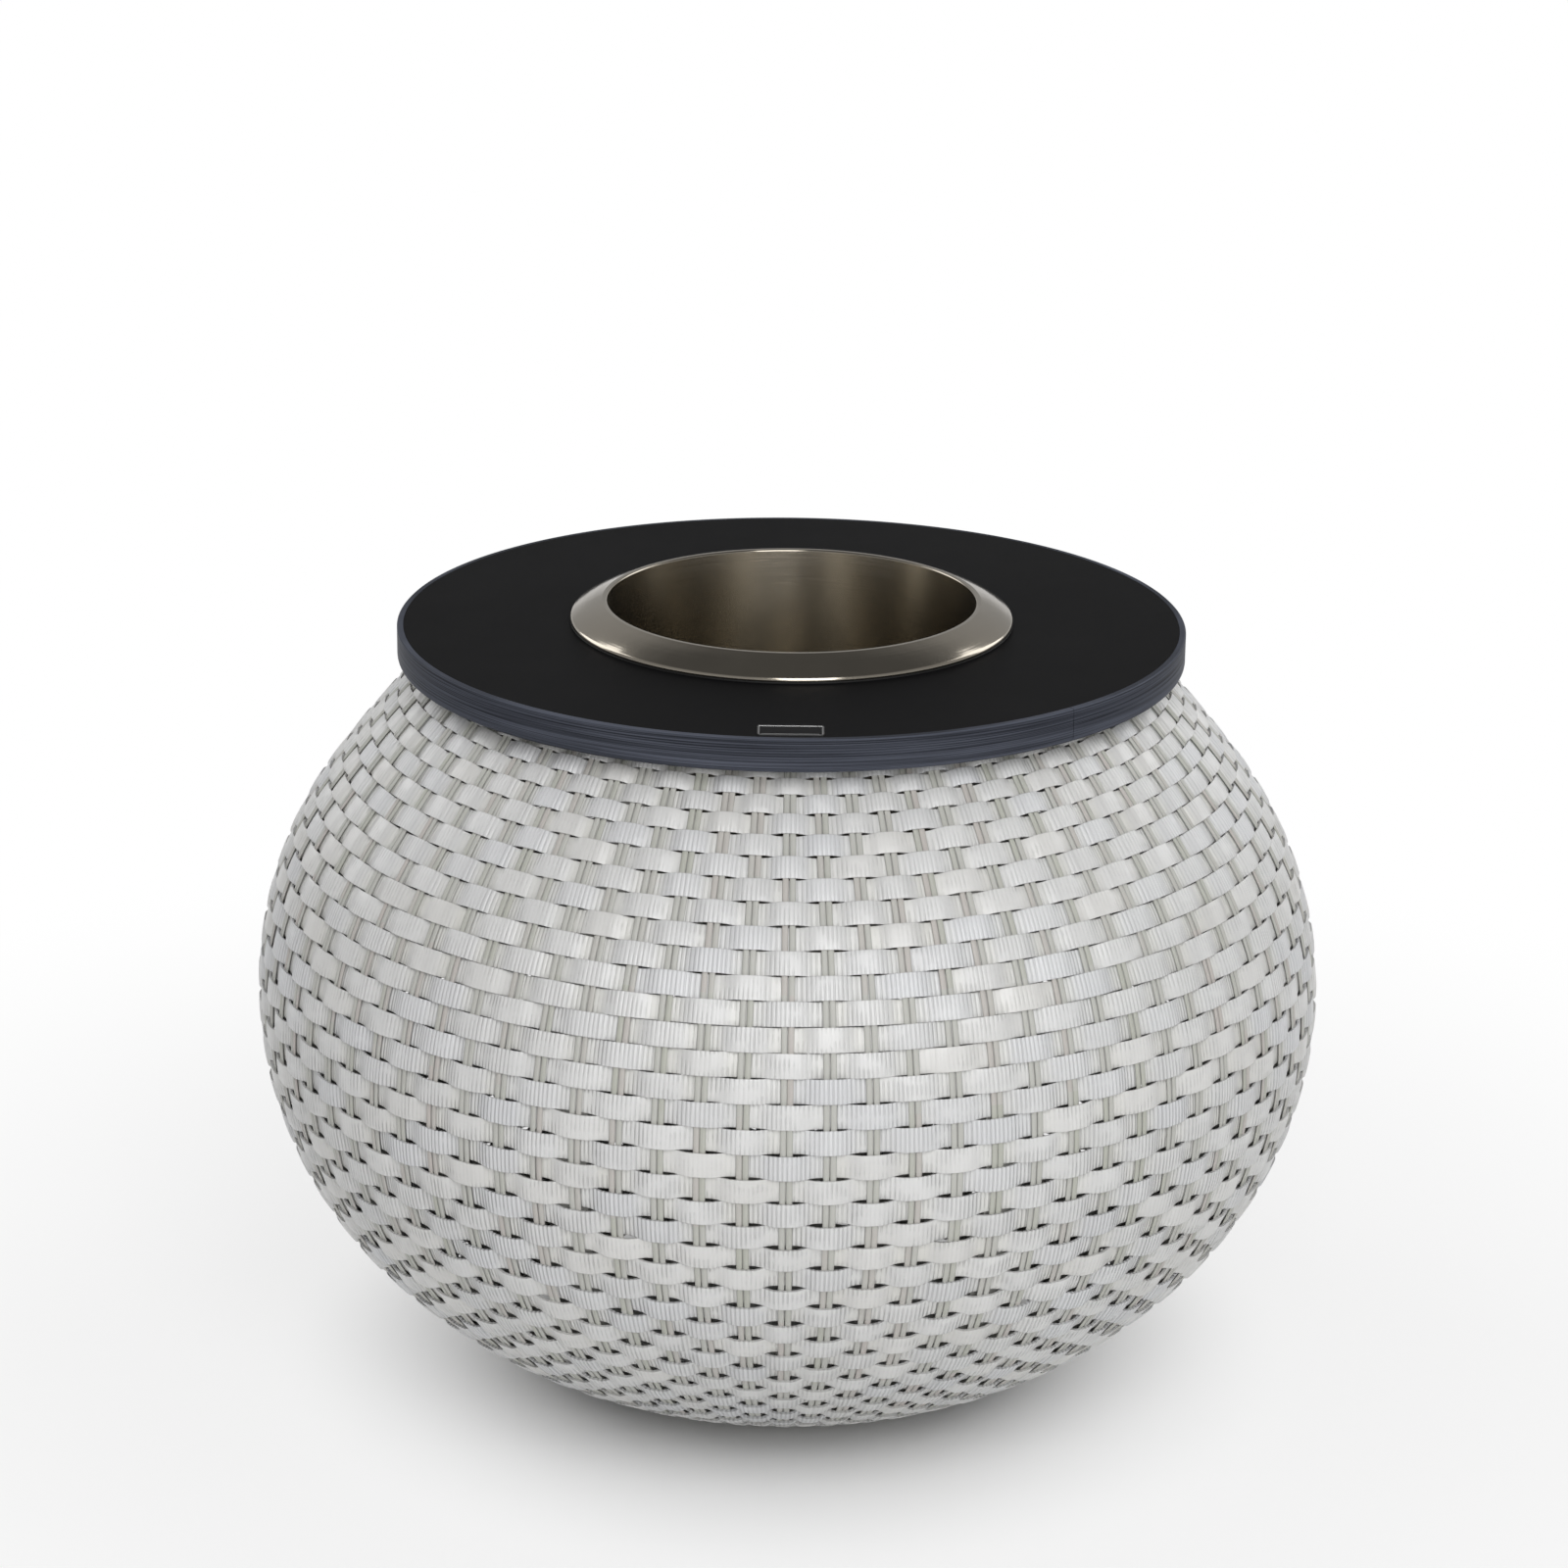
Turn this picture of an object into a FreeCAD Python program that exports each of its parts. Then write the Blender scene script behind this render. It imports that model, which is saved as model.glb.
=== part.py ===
"""Ice bucket coffee table: a woven ball-shaped base on a metal frame, a round board and a lift-out bucket.

The origin is on the floor under the middle of the table, with +Z up and the front towards -Y.
Every length is in millimetres and every angle in degrees.
"""
import FreeCAD, Part
import math
import os
import re
import Sketcher

Vector = FreeCAD.Vector
UP = Vector(0, 0, 1)

# Sketcher's own numbers for a sketch's two axes, and for the start, end and middle of its geometry
Y_AXIS, X_AXIS = range(-2, 0)
ROOT = X_AXIS
START, END, MIDDLE = range(1, 4)

SIZES = {
    # Board, its edging and the name plate
    "top_height": 380,
    "top_radius": 190,
    "top_thickness": 16,
    "band_thickness": 3,
    "band_bevel": 0.6,
    "band_round": 2.4,
    "glue_line": 0.1,
    "seam_width": 0.3,
    "seam_angle": -47.5,
    "plate_length": 30,
    "plate_width": 13,
    "plate_thickness": 0.8,
    "plate_recess": 0.5,
    "plate_corner": 1,
    "plate_margin": 3,
    "plate_fit": 0.1,
    # Outline of the woven base: its widest level, and the chord from there to its top and to its foot
    "belly_radius": 260.5,
    "belly_height": 196.5,
    "top_overhang": 16.2,
    "foot_lean": 36,
    # Each chord spans two tangent arcs. The one next to the widest level turns through so many times the
    # chord's lean, and its radius is so many times that of one arc over the whole chord.
    "upper_turn_ratio": 1.352,
    "upper_radius_ratio": 0.877,
    "lower_turn_ratio": 1.139,
    "lower_radius_ratio": 0.9495,
    # Weave
    "row_count": 39,
    "row_swell": 0.9,
    "weft_thickness": 2.2,
    "weave_gap": 0.15,
    "stake_count": 84,
    "stake_width": 6,
    "stake_thickness": 2.6,
    "weave_headroom": 0.4,
    "weave_lap": 4.4,
    "binding_width": 4,
    "binding_round": 1.8,
    # Frame
    "rib_count": 8,
    "rib_start": 22.5,
    "rib_width": 18,
    "rib_thickness": 5,
    "rib_gap": 0.5,
    "hoop_radius": 5,
    "ring_thickness": 4,
    "top_ring_width": 30,
    "base_ring_width": 27,
    "weld_gap": 0.1,
    # Fixings under the board
    "top_screw_count": 4,
    "screw_radius": 2.4,
    "screw_head_radius": 4.75,
    "screw_head_height": 2.8,
    "screw_key_radius": 1.7,
    "screw_key_depth": 1.6,
    "screw_length": 15,
    "screw_hole_radius": 2.8,
    "washer_radius": 7,
    "washer_thickness": 1.2,
    "insert_radius": 4.2,
    "insert_bore_radius": 2.5,
    "insert_length": 12,
    "insert_fit": 0.05,
    "insert_headroom": 0.5,
    # Feet
    "foot_count": 4,
    "foot_start": 45,
    "foot_height": 8,
    "foot_radius": 11,
    "foot_round": 1.5,
    "foot_bore_depth": 4,
    "foot_bore_radius": 5,
    "foot_screw_radius": 1.9,
    "foot_hole_radius": 2.1,
    "foot_screw_head_radius": 3.8,
    "foot_screw_head_height": 2.4,
    "foot_screw_length": 9.5,
    # Bucket
    "mouth_radius": 89,
    "floor_radius": 80,
    "bucket_depth": 180,
    "bucket_sheet": 1.2,
    "bucket_floor_round": 18,
    "flange_radius": 107,
    "flange_edge": 1.8,
    "flange_rise": 7.6,
    "lip_width": 2.4,
    "lip_round": 1,
    "bucket_clearance": 5,
    "gasket_width": 3.4,
    "gasket_thickness": 1,
}

doc = FreeCAD.newDocument("ice_bucket_coffee_table")
sheet = doc.addObject("Spreadsheet::Sheet", "sizes")
for line, (alias, value) in enumerate(SIZES.items(), start=1):
    sheet.set(f"A{line}", alias)
    sheet.set(f"B{line}", str(value))
    sheet.setAlias(f"B{line}", alias)
doc.recompute()

# Sizes that follow from the sheet, as formulas on its cells and on the outline's arcs
BOARD_UNDERSIDE = "(top_height - top_thickness)"
BOARD_RADIUS = "(top_radius - band_thickness - glue_line)"
TOP_RING_UNDERSIDE = f"({BOARD_UNDERSIDE} - ring_thickness)"
BASE_RING_FACE = "(foot_height + ring_thickness)"
STAKE_INSET = "(weft_thickness + weave_gap)"
FRAME_INSET = f"({STAKE_INSET} + stake_thickness + weave_gap)"
RIB_INSET = f"({STAKE_INSET} + stake_thickness + rib_gap)"
HOOP_INSET = f"({RIB_INSET} + rib_thickness + weld_gap + hoop_radius)"
WEAVE_LOW = f"({BASE_RING_FACE} + weave_gap)"
WEAVE_HIGH = f"({BOARD_UNDERSIDE} - weave_headroom)"
UPPER_RISE = f"({BOARD_UNDERSIDE} - belly_height)"
UPPER_DRAW = "(belly_radius - top_radius + top_overhang)"
LOWER_RISE = f"(belly_height - {WEAVE_LOW})"
LOWER_DRAW = f"({LOWER_RISE} * tan(foot_lean))"
UPPER_ARC = "arcs.UpperRadius"
UPPER_TURN = "arcs.UpperTurn"
CROWN_ARC = "arcs.CrownRadius"
LOWER_ARC = "arcs.LowerRadius"
LOWER_TURN = "arcs.LowerTurn"
BASE_ARC = "arcs.BaseRadius"
UPPER_CENTRE = f"(belly_radius - {UPPER_ARC})"
LOWER_CENTRE = f"(belly_radius - {LOWER_ARC})"
CROWN_X = f"({UPPER_CENTRE} + ({UPPER_ARC} - {CROWN_ARC}) * cos({UPPER_TURN}))"
CROWN_Z = f"(belly_height + ({UPPER_ARC} - {CROWN_ARC}) * sin({UPPER_TURN}))"
BASE_X = f"({LOWER_CENTRE} + ({LOWER_ARC} - {BASE_ARC}) * cos({LOWER_TURN}))"
BASE_Z = f"(belly_height - ({LOWER_ARC} - {BASE_ARC}) * sin({LOWER_TURN}))"
TOP_RING_RADIUS = f"({CROWN_X} + sqrt(({CROWN_ARC} - {FRAME_INSET})^2 - ({BOARD_UNDERSIDE} - {CROWN_Z})^2))"
SCREW_CIRCLE = f"({TOP_RING_RADIUS} - top_ring_width / 2)"
WEAVE_FOOT = f"({BASE_X} + sqrt(({BASE_ARC} - {FRAME_INSET})^2 - ({BASE_Z} - {WEAVE_LOW})^2))"
BASE_RING_RADIUS = f"({WEAVE_FOOT} + weave_lap)"
FOOT_CIRCLE = f"({BASE_RING_RADIUS} - base_ring_width / 2)"
PLATE_CENTRE = f"({BOARD_RADIUS} - plate_margin - plate_width / 2)"
BUCKET_HOLE_RADIUS = "(mouth_radius + bucket_sheet + bucket_clearance)"
FLANGE_HEIGHT = "(flange_edge + flange_rise)"
BUCKET_HEIGHT = "(bucket_depth + bucket_sheet)"
BUCKET_SEAT = f"({BUCKET_HEIGHT} - {FLANGE_HEIGHT})"
BUCKET_BASE = f"(top_height + gasket_thickness - {BUCKET_SEAT})"


def cells(formula):
    """Spell out each sheet name in a formula: every alias, and nothing else, has an underscore."""
    return re.sub(r"\b[a-z]+_[a-z_]+\b", lambda word: "sizes." + word.group(), formula)


def worth(formula):
    """Give the value of a formula on the sheet."""
    return float(sheet.evalExpression(cells(formula)))


def bind(item, **formulas):
    """Bind properties of an object to formulas on the sheet."""
    for name, formula in formulas.items():
        item.setExpression(name, cells(formula))


def solve_arcs(arcs, near, far, draw, rise):
    """Work out the two tangent arcs over a chord: how far it goes in, and how far up or down.

    The near arc starts upright at the widest level, and the far one ends on the end of the chord.
    """
    turn = f"arcs.{near}Turn"
    radius = f"arcs.{near}Radius"
    across = f"({radius} - {draw})"
    reach = f"({across} * cos({turn}) + {rise} * sin({turn}))"
    side = near.lower()
    formulas = {
        f"{near}Turn": f"{side}_turn_ratio * atan({draw} / {rise})",
        f"{near}Radius": f"{side}_radius_ratio * ({draw}^2 + {rise}^2) / (2 * {draw})",
        f"{far}Radius": f"({across}^2 + {rise}^2 + {radius}^2 - 2 * {radius} * {reach}) / "
                        f"(2 * ({radius} - {reach}))",
    }
    for name, formula in formulas.items():
        arcs.addProperty("App::PropertyFloat", name)
        bind(arcs, **{name: formula})


def make_arcs():
    """Keep the outline's arcs as values that every layer of the base reads."""
    arcs = doc.addObject("App::VarSet", "arcs")
    solve_arcs(arcs, "Upper", "Crown", UPPER_DRAW, UPPER_RISE)
    solve_arcs(arcs, "Lower", "Base", LOWER_DRAW, LOWER_RISE)
    doc.recompute()


def stand(item, height, turn="0"):
    """Place an object at a height on the vertical axis, turned about it."""
    item.Placement = FreeCAD.Placement(Vector(0, 0, worth(height)), FreeCAD.Rotation(UP, worth(turn)))
    item.setExpression("Placement.Base.z", cells(height))
    item.setExpression("Placement.Rotation.Angle", cells(turn))


def new_body(label):
    """Start a sub-part."""
    return doc.addObject("PartDesign::Body", label)


def origin_feature(body, role):
    """Find one of a body's own planes or axes."""
    return next(item for item in body.Origin.OriginFeatures if item.Role == role)


def new_sketch(body, role="XY_Plane", height="0"):
    """Lay a sketch on one of a body's own planes, or at a height above its floor plane."""
    sketch = body.newObject("Sketcher::SketchObject", body.Label + "_sketch")
    sketch.AttachmentSupport = [(origin_feature(body, role), "")]
    sketch.MapMode = "FlatFace"
    sketch.AttachmentOffset = FreeCAD.Placement(Vector(0, 0, worth(height)), FreeCAD.Rotation())
    sketch.setExpression("AttachmentOffset.Base.z", cells(height))
    return sketch


def dimension(sketch, formula, kind, *where):
    """Add a dimension to a sketch and bind it to a formula."""
    value = worth(formula)
    if kind == "Angle":
        value = math.radians(value)
    number = sketch.addConstraint(Sketcher.Constraint(kind, *where, value))
    sketch.setExpression(f"Constraints[{number}]", cells(formula))


def pin_point(sketch, geometry, place, across, along):
    """Tie a point of a sketch to two formulas, or to an axis where a formula is nought."""
    if across == "0":
        sketch.addConstraint(Sketcher.Constraint("PointOnObject", geometry, place, Y_AXIS))
    else:
        dimension(sketch, across, "DistanceX", ROOT, START, geometry, place)
    if along == "0":
        sketch.addConstraint(Sketcher.Constraint("PointOnObject", geometry, place, X_AXIS))
    else:
        dimension(sketch, along, "DistanceY", ROOT, START, geometry, place)


def draw_circle(sketch, radius, across="0", along="0"):
    """Draw a circle with its middle on two formulas."""
    middle = Vector(worth(across), worth(along), 0)
    circle = sketch.addGeometry(Part.Circle(middle, UP, worth(radius)), False)
    pin_point(sketch, circle, MIDDLE, across, along)
    dimension(sketch, radius, "Radius", circle)


def draw_outline(sketch, corners):
    """Draw a closed outline of straight lines with each corner on two formulas."""
    places = [Vector(worth(across), worth(along), 0) for across, along in corners]
    lines = []
    for here, there in zip(places, places[1:] + places[:1]):
        lines.append(sketch.addGeometry(Part.LineSegment(here, there), False))
    for line, after in zip(lines, lines[1:] + lines[:1]):
        sketch.addConstraint(Sketcher.Constraint("Coincident", line, END, after, START))
    for line, (across, along) in zip(lines, corners):
        pin_point(sketch, line, START, across, along)


def draw_rectangle(sketch, left, low, right, high):
    """Draw a rectangle between four formulas."""
    draw_outline(sketch, [(left, low), (right, low), (right, high), (left, high)])


def turn_at(centre_height, radius, height):
    """Give the turn from level at which an arc reaches a height."""
    return math.degrees(math.asin((height - centre_height) / radius))


def outline_arcs(inset, low, high):
    """List the outline's four arcs from the base up, moved inwards by an inset, between two heights.

    Each is its centre's radius and height, its own radius, and the turns at its two ends.
    """
    depth = worth(inset)
    base_reach = worth(BASE_ARC) - depth
    lower_reach = worth(LOWER_ARC) - depth
    upper_reach = worth(UPPER_ARC) - depth
    crown_reach = worth(CROWN_ARC) - depth
    belly = worth("belly_height")
    lower_turn = -worth(LOWER_TURN)
    upper_turn = worth(UPPER_TURN)
    first_turn = turn_at(worth(BASE_Z), base_reach, worth(low))
    last_turn = turn_at(worth(CROWN_Z), crown_reach, worth(high))
    return [
        (worth(BASE_X), worth(BASE_Z), base_reach, first_turn, lower_turn),
        (worth(LOWER_CENTRE), belly, lower_reach, lower_turn, 0),
        (worth(UPPER_CENTRE), belly, upper_reach, 0, upper_turn),
        (worth(CROWN_X), worth(CROWN_Z), crown_reach, upper_turn, last_turn),
    ]


def draw_meridian(sketch, inset, low, high):
    """Draw the outline of the base, moved inwards by an inset, between two heights."""
    arcs = []
    for centre_radius, centre_height, reach, start, end in outline_arcs(inset, low, high):
        circle = Part.Circle(Vector(centre_radius, centre_height, 0), UP, reach)
        arc = Part.ArcOfCircle(circle, math.radians(start), math.radians(end))
        arcs.append(sketch.addGeometry(arc, False))
    base, lower, upper, crown = arcs
    for arc, after in zip(arcs, arcs[1:]):
        sketch.addConstraint(Sketcher.Constraint("Tangent", arc, END, after, START))
    for arc, radius in zip(arcs, (BASE_ARC, LOWER_ARC, UPPER_ARC, CROWN_ARC)):
        dimension(sketch, f"{radius} - {inset}", "Radius", arc)
    sketch.addConstraint(Sketcher.Constraint("Horizontal", upper, START, upper, MIDDLE))
    dimension(sketch, f"belly_radius - {inset}", "DistanceX", ROOT, START, upper, START)
    dimension(sketch, "belly_height", "DistanceY", ROOT, START, upper, START)
    dimension(sketch, UPPER_TURN, "Angle", upper)
    dimension(sketch, LOWER_TURN, "Angle", lower)
    dimension(sketch, low, "DistanceY", ROOT, START, base, START)
    dimension(sketch, high, "DistanceY", ROOT, START, crown, END)
    return base, crown


def draw_meridian_bar(sketch, inset, thickness, low, high):
    """Draw the side view of a bar that follows the outline: two rows of arcs closed by level ends."""
    outer_base, outer_crown = draw_meridian(sketch, inset, low, high)
    inner_base, inner_crown = draw_meridian(sketch, f"({inset} + {thickness})", low, high)
    for outer, inner, place in ((outer_base, inner_base, START), (outer_crown, inner_crown, END)):
        line = sketch.addGeometry(Part.LineSegment(sketch.getPoint(outer, place),
                                                   sketch.getPoint(inner, place)), False)
        sketch.addConstraint(Sketcher.Constraint("Coincident", line, START, outer, place))
        sketch.addConstraint(Sketcher.Constraint("Coincident", line, END, inner, place))


def pad(body, sketch, length, midplane=False):
    """Raise a sketch into a solid."""
    feature = body.newObject("PartDesign::Pad", body.Label + "_pad")
    feature.Profile = sketch
    feature.Midplane = midplane
    bind(feature, Length=length)
    return feature


def pocket(body, sketch, depth, upwards=False):
    """Cut a sketch into the solid, down from it or up from it."""
    feature = body.newObject("PartDesign::Pocket", body.Label + "_pocket")
    feature.Profile = sketch
    feature.Reversed = upwards
    bind(feature, Length=depth)
    return feature


def revolve(body, sketch):
    """Turn a sketch right round the vertical axis."""
    feature = body.newObject("PartDesign::Revolution", body.Label + "_revolution")
    feature.Profile = sketch
    feature.ReferenceAxis = (sketch, ["V_Axis"])
    feature.Angle = 360
    return feature


def repeat_round(body, features, count):
    """Repeat features about the vertical axis."""
    feature = body.newObject("PartDesign::PolarPattern", body.Label + "_pattern")
    feature.Originals = features
    feature.Axis = (origin_feature(body, "Z_Axis"), [""])
    feature.Angle = 360
    bind(feature, Occurrences=count)
    body.Tip = feature
    return feature


def rings_at(feature, radius, height):
    """Name the circular edges of a feature with a radius and a height, all the way round."""
    near = 0.01
    names = []
    for number, edge in enumerate(feature.Shape.Edges, start=1):
        if not isinstance(edge.Curve, Part.Circle):
            continue
        right_size = abs(edge.Curve.Radius - worth(radius)) < near
        if right_size and abs(edge.Curve.Center.z - worth(height)) < near:
            names.append(f"Edge{number}")
    return names


def ease(body, kind, size, rings):
    """Round or chamfer the circular edges that rings lists as radius and height."""
    doc.recompute()
    base = body.Tip
    names = [name for radius, height in rings for name in rings_at(base, radius, height)]
    if len(names) < len(rings):
        raise RuntimeError(f"{body.Label}: an edge to ease is missing")
    feature = body.newObject("PartDesign::" + kind, body.Label + "_" + kind.lower())
    feature.Base = (base, names)
    bind(feature, **{"Size" if kind == "Chamfer" else "Radius": size})
    return feature


def make_flat_ring(label, height, radius, width, thickness, turn="0"):
    """Make a flat ring."""
    body = new_body(label)
    sketch = new_sketch(body)
    draw_circle(sketch, radius)
    draw_circle(sketch, f"{radius} - {width}")
    pad(body, sketch, thickness)
    stand(body, height, turn)
    return body


def make_table_top():
    """Round board with the bucket's hole, blind holes for the inserts and a recess for the plate."""
    body = new_body("table_top")
    disc = new_sketch(body)
    draw_circle(disc, BOARD_RADIUS)
    pad(body, disc, "top_thickness")
    hole = new_sketch(body)
    draw_circle(hole, BUCKET_HOLE_RADIUS)
    pocket(body, hole, "top_thickness", upwards=True)
    blind_hole = new_sketch(body)
    draw_circle(blind_hole, "insert_radius + insert_fit", SCREW_CIRCLE)
    blind = pocket(body, blind_hole, "insert_length + insert_headroom", upwards=True)
    repeat_round(body, [blind], "top_screw_count")
    recess = new_sketch(body, height="top_thickness")
    half_length = "(plate_length / 2 + plate_fit)"
    half_width = "(plate_width / 2 + plate_fit)"
    draw_rectangle(recess, f"-{half_length}", f"-{PLATE_CENTRE} - {half_width}",
                   half_length, f"-{PLATE_CENTRE} + {half_width}")
    pocket(body, recess, "plate_recess")
    stand(body, BOARD_UNDERSIDE)


def make_edge_band():
    """Edging strip bent round the board, bevelled above and rounded below, with its ends butted."""
    body = new_body("edge_band")
    section = new_sketch(body, "XZ_Plane")
    draw_rectangle(section, "top_radius - band_thickness", "0", "top_radius", "top_thickness")
    revolve(body, section)
    ease(body, "Chamfer", "band_bevel", [("top_radius", "top_thickness")])
    ease(body, "Fillet", "band_round", [("top_radius", "0")])
    seam = new_sketch(body)
    draw_rectangle(seam, "top_radius - 2 * band_thickness", "-seam_width / 2",
                   "top_radius + band_thickness", "seam_width / 2")
    pocket(body, seam, "top_thickness", upwards=True)
    stand(body, BOARD_UNDERSIDE, "seam_angle")


def make_name_plate():
    """Small bare plate let into the front of the board."""
    body = new_body("name_plate")
    face = new_sketch(body)
    draw_rectangle(face, "-plate_length / 2", f"-{PLATE_CENTRE} - plate_width / 2",
                   "plate_length / 2", f"-{PLATE_CENTRE} + plate_width / 2")
    pad(body, face, "plate_thickness")
    doc.recompute()
    plate = body.Tip
    upright = []
    for number, edge in enumerate(plate.Shape.Edges, start=1):
        if abs(edge.Vertexes[0].Z - edge.Vertexes[-1].Z) > worth("plate_thickness") / 2:
            upright.append(f"Edge{number}")
    corners = body.newObject("PartDesign::Fillet", "name_plate_corners")
    corners.Base = (plate, upright)
    bind(corners, Radius="plate_corner")
    stand(body, "top_height - plate_recess")


def make_fixings():
    """Inserts in the board, and the washers and screws that hold the board to the frame's top ring."""
    inserts = new_body("top_inserts")
    section = new_sketch(inserts)
    draw_circle(section, "insert_radius", SCREW_CIRCLE)
    draw_circle(section, "insert_bore_radius", SCREW_CIRCLE)
    repeat_round(inserts, [pad(inserts, section, "insert_length")], "top_screw_count")
    stand(inserts, BOARD_UNDERSIDE)

    washers = new_body("top_washers")
    section = new_sketch(washers)
    draw_circle(section, "washer_radius", SCREW_CIRCLE)
    draw_circle(section, "screw_hole_radius", SCREW_CIRCLE)
    repeat_round(washers, [pad(washers, section, "washer_thickness")], "top_screw_count")
    stand(washers, f"{TOP_RING_UNDERSIDE} - washer_thickness")

    screws = new_body("top_screws")
    head_section = new_sketch(screws)
    draw_circle(head_section, "screw_head_radius", SCREW_CIRCLE)
    head = pad(screws, head_section, "screw_head_height")
    shank_section = new_sketch(screws)
    draw_circle(shank_section, "screw_radius", SCREW_CIRCLE)
    shank = pad(screws, shank_section, "screw_head_height + screw_length")
    key = new_sketch(screws)
    draw_key(key, SCREW_CIRCLE, "screw_key_radius")
    socket = pocket(screws, key, "screw_key_depth", upwards=True)
    repeat_round(screws, [head, shank, socket], "top_screw_count")
    stand(screws, f"{TOP_RING_UNDERSIDE} - washer_thickness - screw_head_height")


def draw_key(sketch, across, radius):
    """Draw the hexagon of a screw's socket, its middle at a distance along the sketch."""
    half = f"({radius} / 2)"
    rise = f"({radius} * sin(60))"
    draw_outline(sketch, [
        (f"{across} + {radius}", "0"),
        (f"{across} + {half}", rise),
        (f"{across} - {half}", rise),
        (f"{across} - {radius}", "0"),
        (f"{across} - {half}", f"-{rise}"),
        (f"{across} + {half}", f"-{rise}"),
    ])


def make_top_ring():
    """Flat ring under the board, with a hole for each screw."""
    body = make_flat_ring("top_ring", TOP_RING_UNDERSIDE, TOP_RING_RADIUS, "top_ring_width", "ring_thickness")
    hole = new_sketch(body)
    draw_circle(hole, "screw_hole_radius", SCREW_CIRCLE)
    repeat_round(body, [pocket(body, hole, "ring_thickness", upwards=True)], "top_screw_count")


def make_base_ring():
    """Flat ring that the ribs, the weave and the feet end on."""
    body = make_flat_ring("base_ring", "foot_height", BASE_RING_RADIUS, "base_ring_width", "ring_thickness",
                          "foot_start")
    hole = new_sketch(body)
    draw_circle(hole, "foot_hole_radius", FOOT_CIRCLE)
    repeat_round(body, [pocket(body, hole, "ring_thickness", upwards=True)], "foot_count")


def make_base_binding():
    """Strip wound round the edge of the base ring, under the end of the weave."""
    body = new_body("base_binding")
    section = new_sketch(body, "XZ_Plane")
    inner = f"({BASE_RING_RADIUS} + weld_gap)"
    outer = f"({BASE_RING_RADIUS} + weld_gap + binding_width)"
    draw_rectangle(section, inner, "0", outer, "ring_thickness")
    revolve(body, section)
    ease(body, "Fillet", "binding_round", [(outer, "0"), (outer, "ring_thickness")])
    stand(body, "foot_height")


def make_rib(number):
    """Flat bar bent to the outline of the base and welded between the two rings."""
    body = new_body(f"rib_{number + 1}")
    side = new_sketch(body, "XZ_Plane")
    draw_meridian_bar(side, RIB_INSET, "rib_thickness", f"({BASE_RING_FACE} + weld_gap)",
                      f"({TOP_RING_UNDERSIDE} - weld_gap)")
    pad(body, side, "rib_width", midplane=True)
    stand(body, "0", f"rib_start + {number} * 360 / rib_count")


def make_hoop(label, radius, height):
    """Round rod bent into a hoop and welded inside the ribs."""
    hoop = doc.addObject("Part::Torus", label)
    bind(hoop, Radius1=radius, Radius2="hoop_radius")
    stand(hoop, height)


def make_hoops():
    """Hoops where the outline is widest and where its arcs meet."""
    upper = f"({UPPER_ARC} - {HOOP_INSET})"
    lower = f"({LOWER_ARC} - {HOOP_INSET})"
    make_hoop("upper_hoop", f"{UPPER_CENTRE} + {upper} * cos({UPPER_TURN})",
              f"belly_height + {upper} * sin({UPPER_TURN})")
    make_hoop("waist_hoop", f"belly_radius - {HOOP_INSET}", "belly_height")
    make_hoop("lower_hoop", f"{LOWER_CENTRE} + {lower} * cos({LOWER_TURN})",
              f"belly_height - {lower} * sin({LOWER_TURN})")


def make_warp_stakes():
    """Upright strips that the weave runs over and under, bent to the outline."""
    body = new_body("warp_stakes")
    side = new_sketch(body, "XZ_Plane")
    draw_meridian_bar(side, STAKE_INSET, "stake_thickness", WEAVE_LOW, WEAVE_HIGH)
    stake = pad(body, side, "stake_width", midplane=True)
    repeat_round(body, [stake], "stake_count")


def arc_point(arc, turn, rise=0):
    """Give the point at a turn of an arc, or a rise outside it."""
    centre_radius, centre_height, reach, _, _ = arc
    angle = math.radians(turn)
    return Vector(centre_radius + (reach + rise) * math.cos(angle), 0,
                  centre_height + (reach + rise) * math.sin(angle))


def arc_length(arc):
    """Give the length of an arc."""
    _, _, reach, start, end = arc
    return reach * math.radians(end - start)


def point_along(arcs, length, rise=0):
    """Give the point at a length along a chain of arcs, or a rise outside it."""
    for arc in arcs[:-1]:
        if length <= arc_length(arc):
            break
        length -= arc_length(arc)
    else:
        arc = arcs[-1]
    _, _, reach, start, _ = arc
    return arc_point(arc, start + math.degrees(length / reach), rise)


def make_woven_shell():
    """Woven skin as one closed wall, swelling outwards at each row of strips."""
    valleys = outline_arcs("row_swell", WEAVE_LOW, WEAVE_HIGH)
    rows = round(worth("row_count"))
    pitch = sum(arc_length(arc) for arc in valleys) / rows
    edges = []
    for row in range(rows):
        low = point_along(valleys, row * pitch)
        crest = point_along(valleys, (row + 0.5) * pitch, worth("row_swell"))
        high = point_along(valleys, (row + 1) * pitch)
        edges.append(Part.Arc(low, crest, high).toShape())
    inside = outline_arcs("weft_thickness", WEAVE_LOW, WEAVE_HIGH)
    top_end = arc_point(inside[-1], inside[-1][-1])
    edges.append(Part.LineSegment(high, top_end).toShape())
    for arc in reversed(inside):
        _, _, _, start, end = arc
        points = [arc_point(arc, turn) for turn in (end, (start + end) / 2, start)]
        edges.append(Part.Arc(*points).toShape())
    edges.append(Part.LineSegment(points[-1], point_along(valleys, 0)).toShape())
    face = Part.Face(Part.Wire(edges))
    shell = doc.addObject("Part::Feature", "woven_shell")
    shell.Shape = face.revolve(Vector(0, 0, 0), UP, 360)


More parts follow.
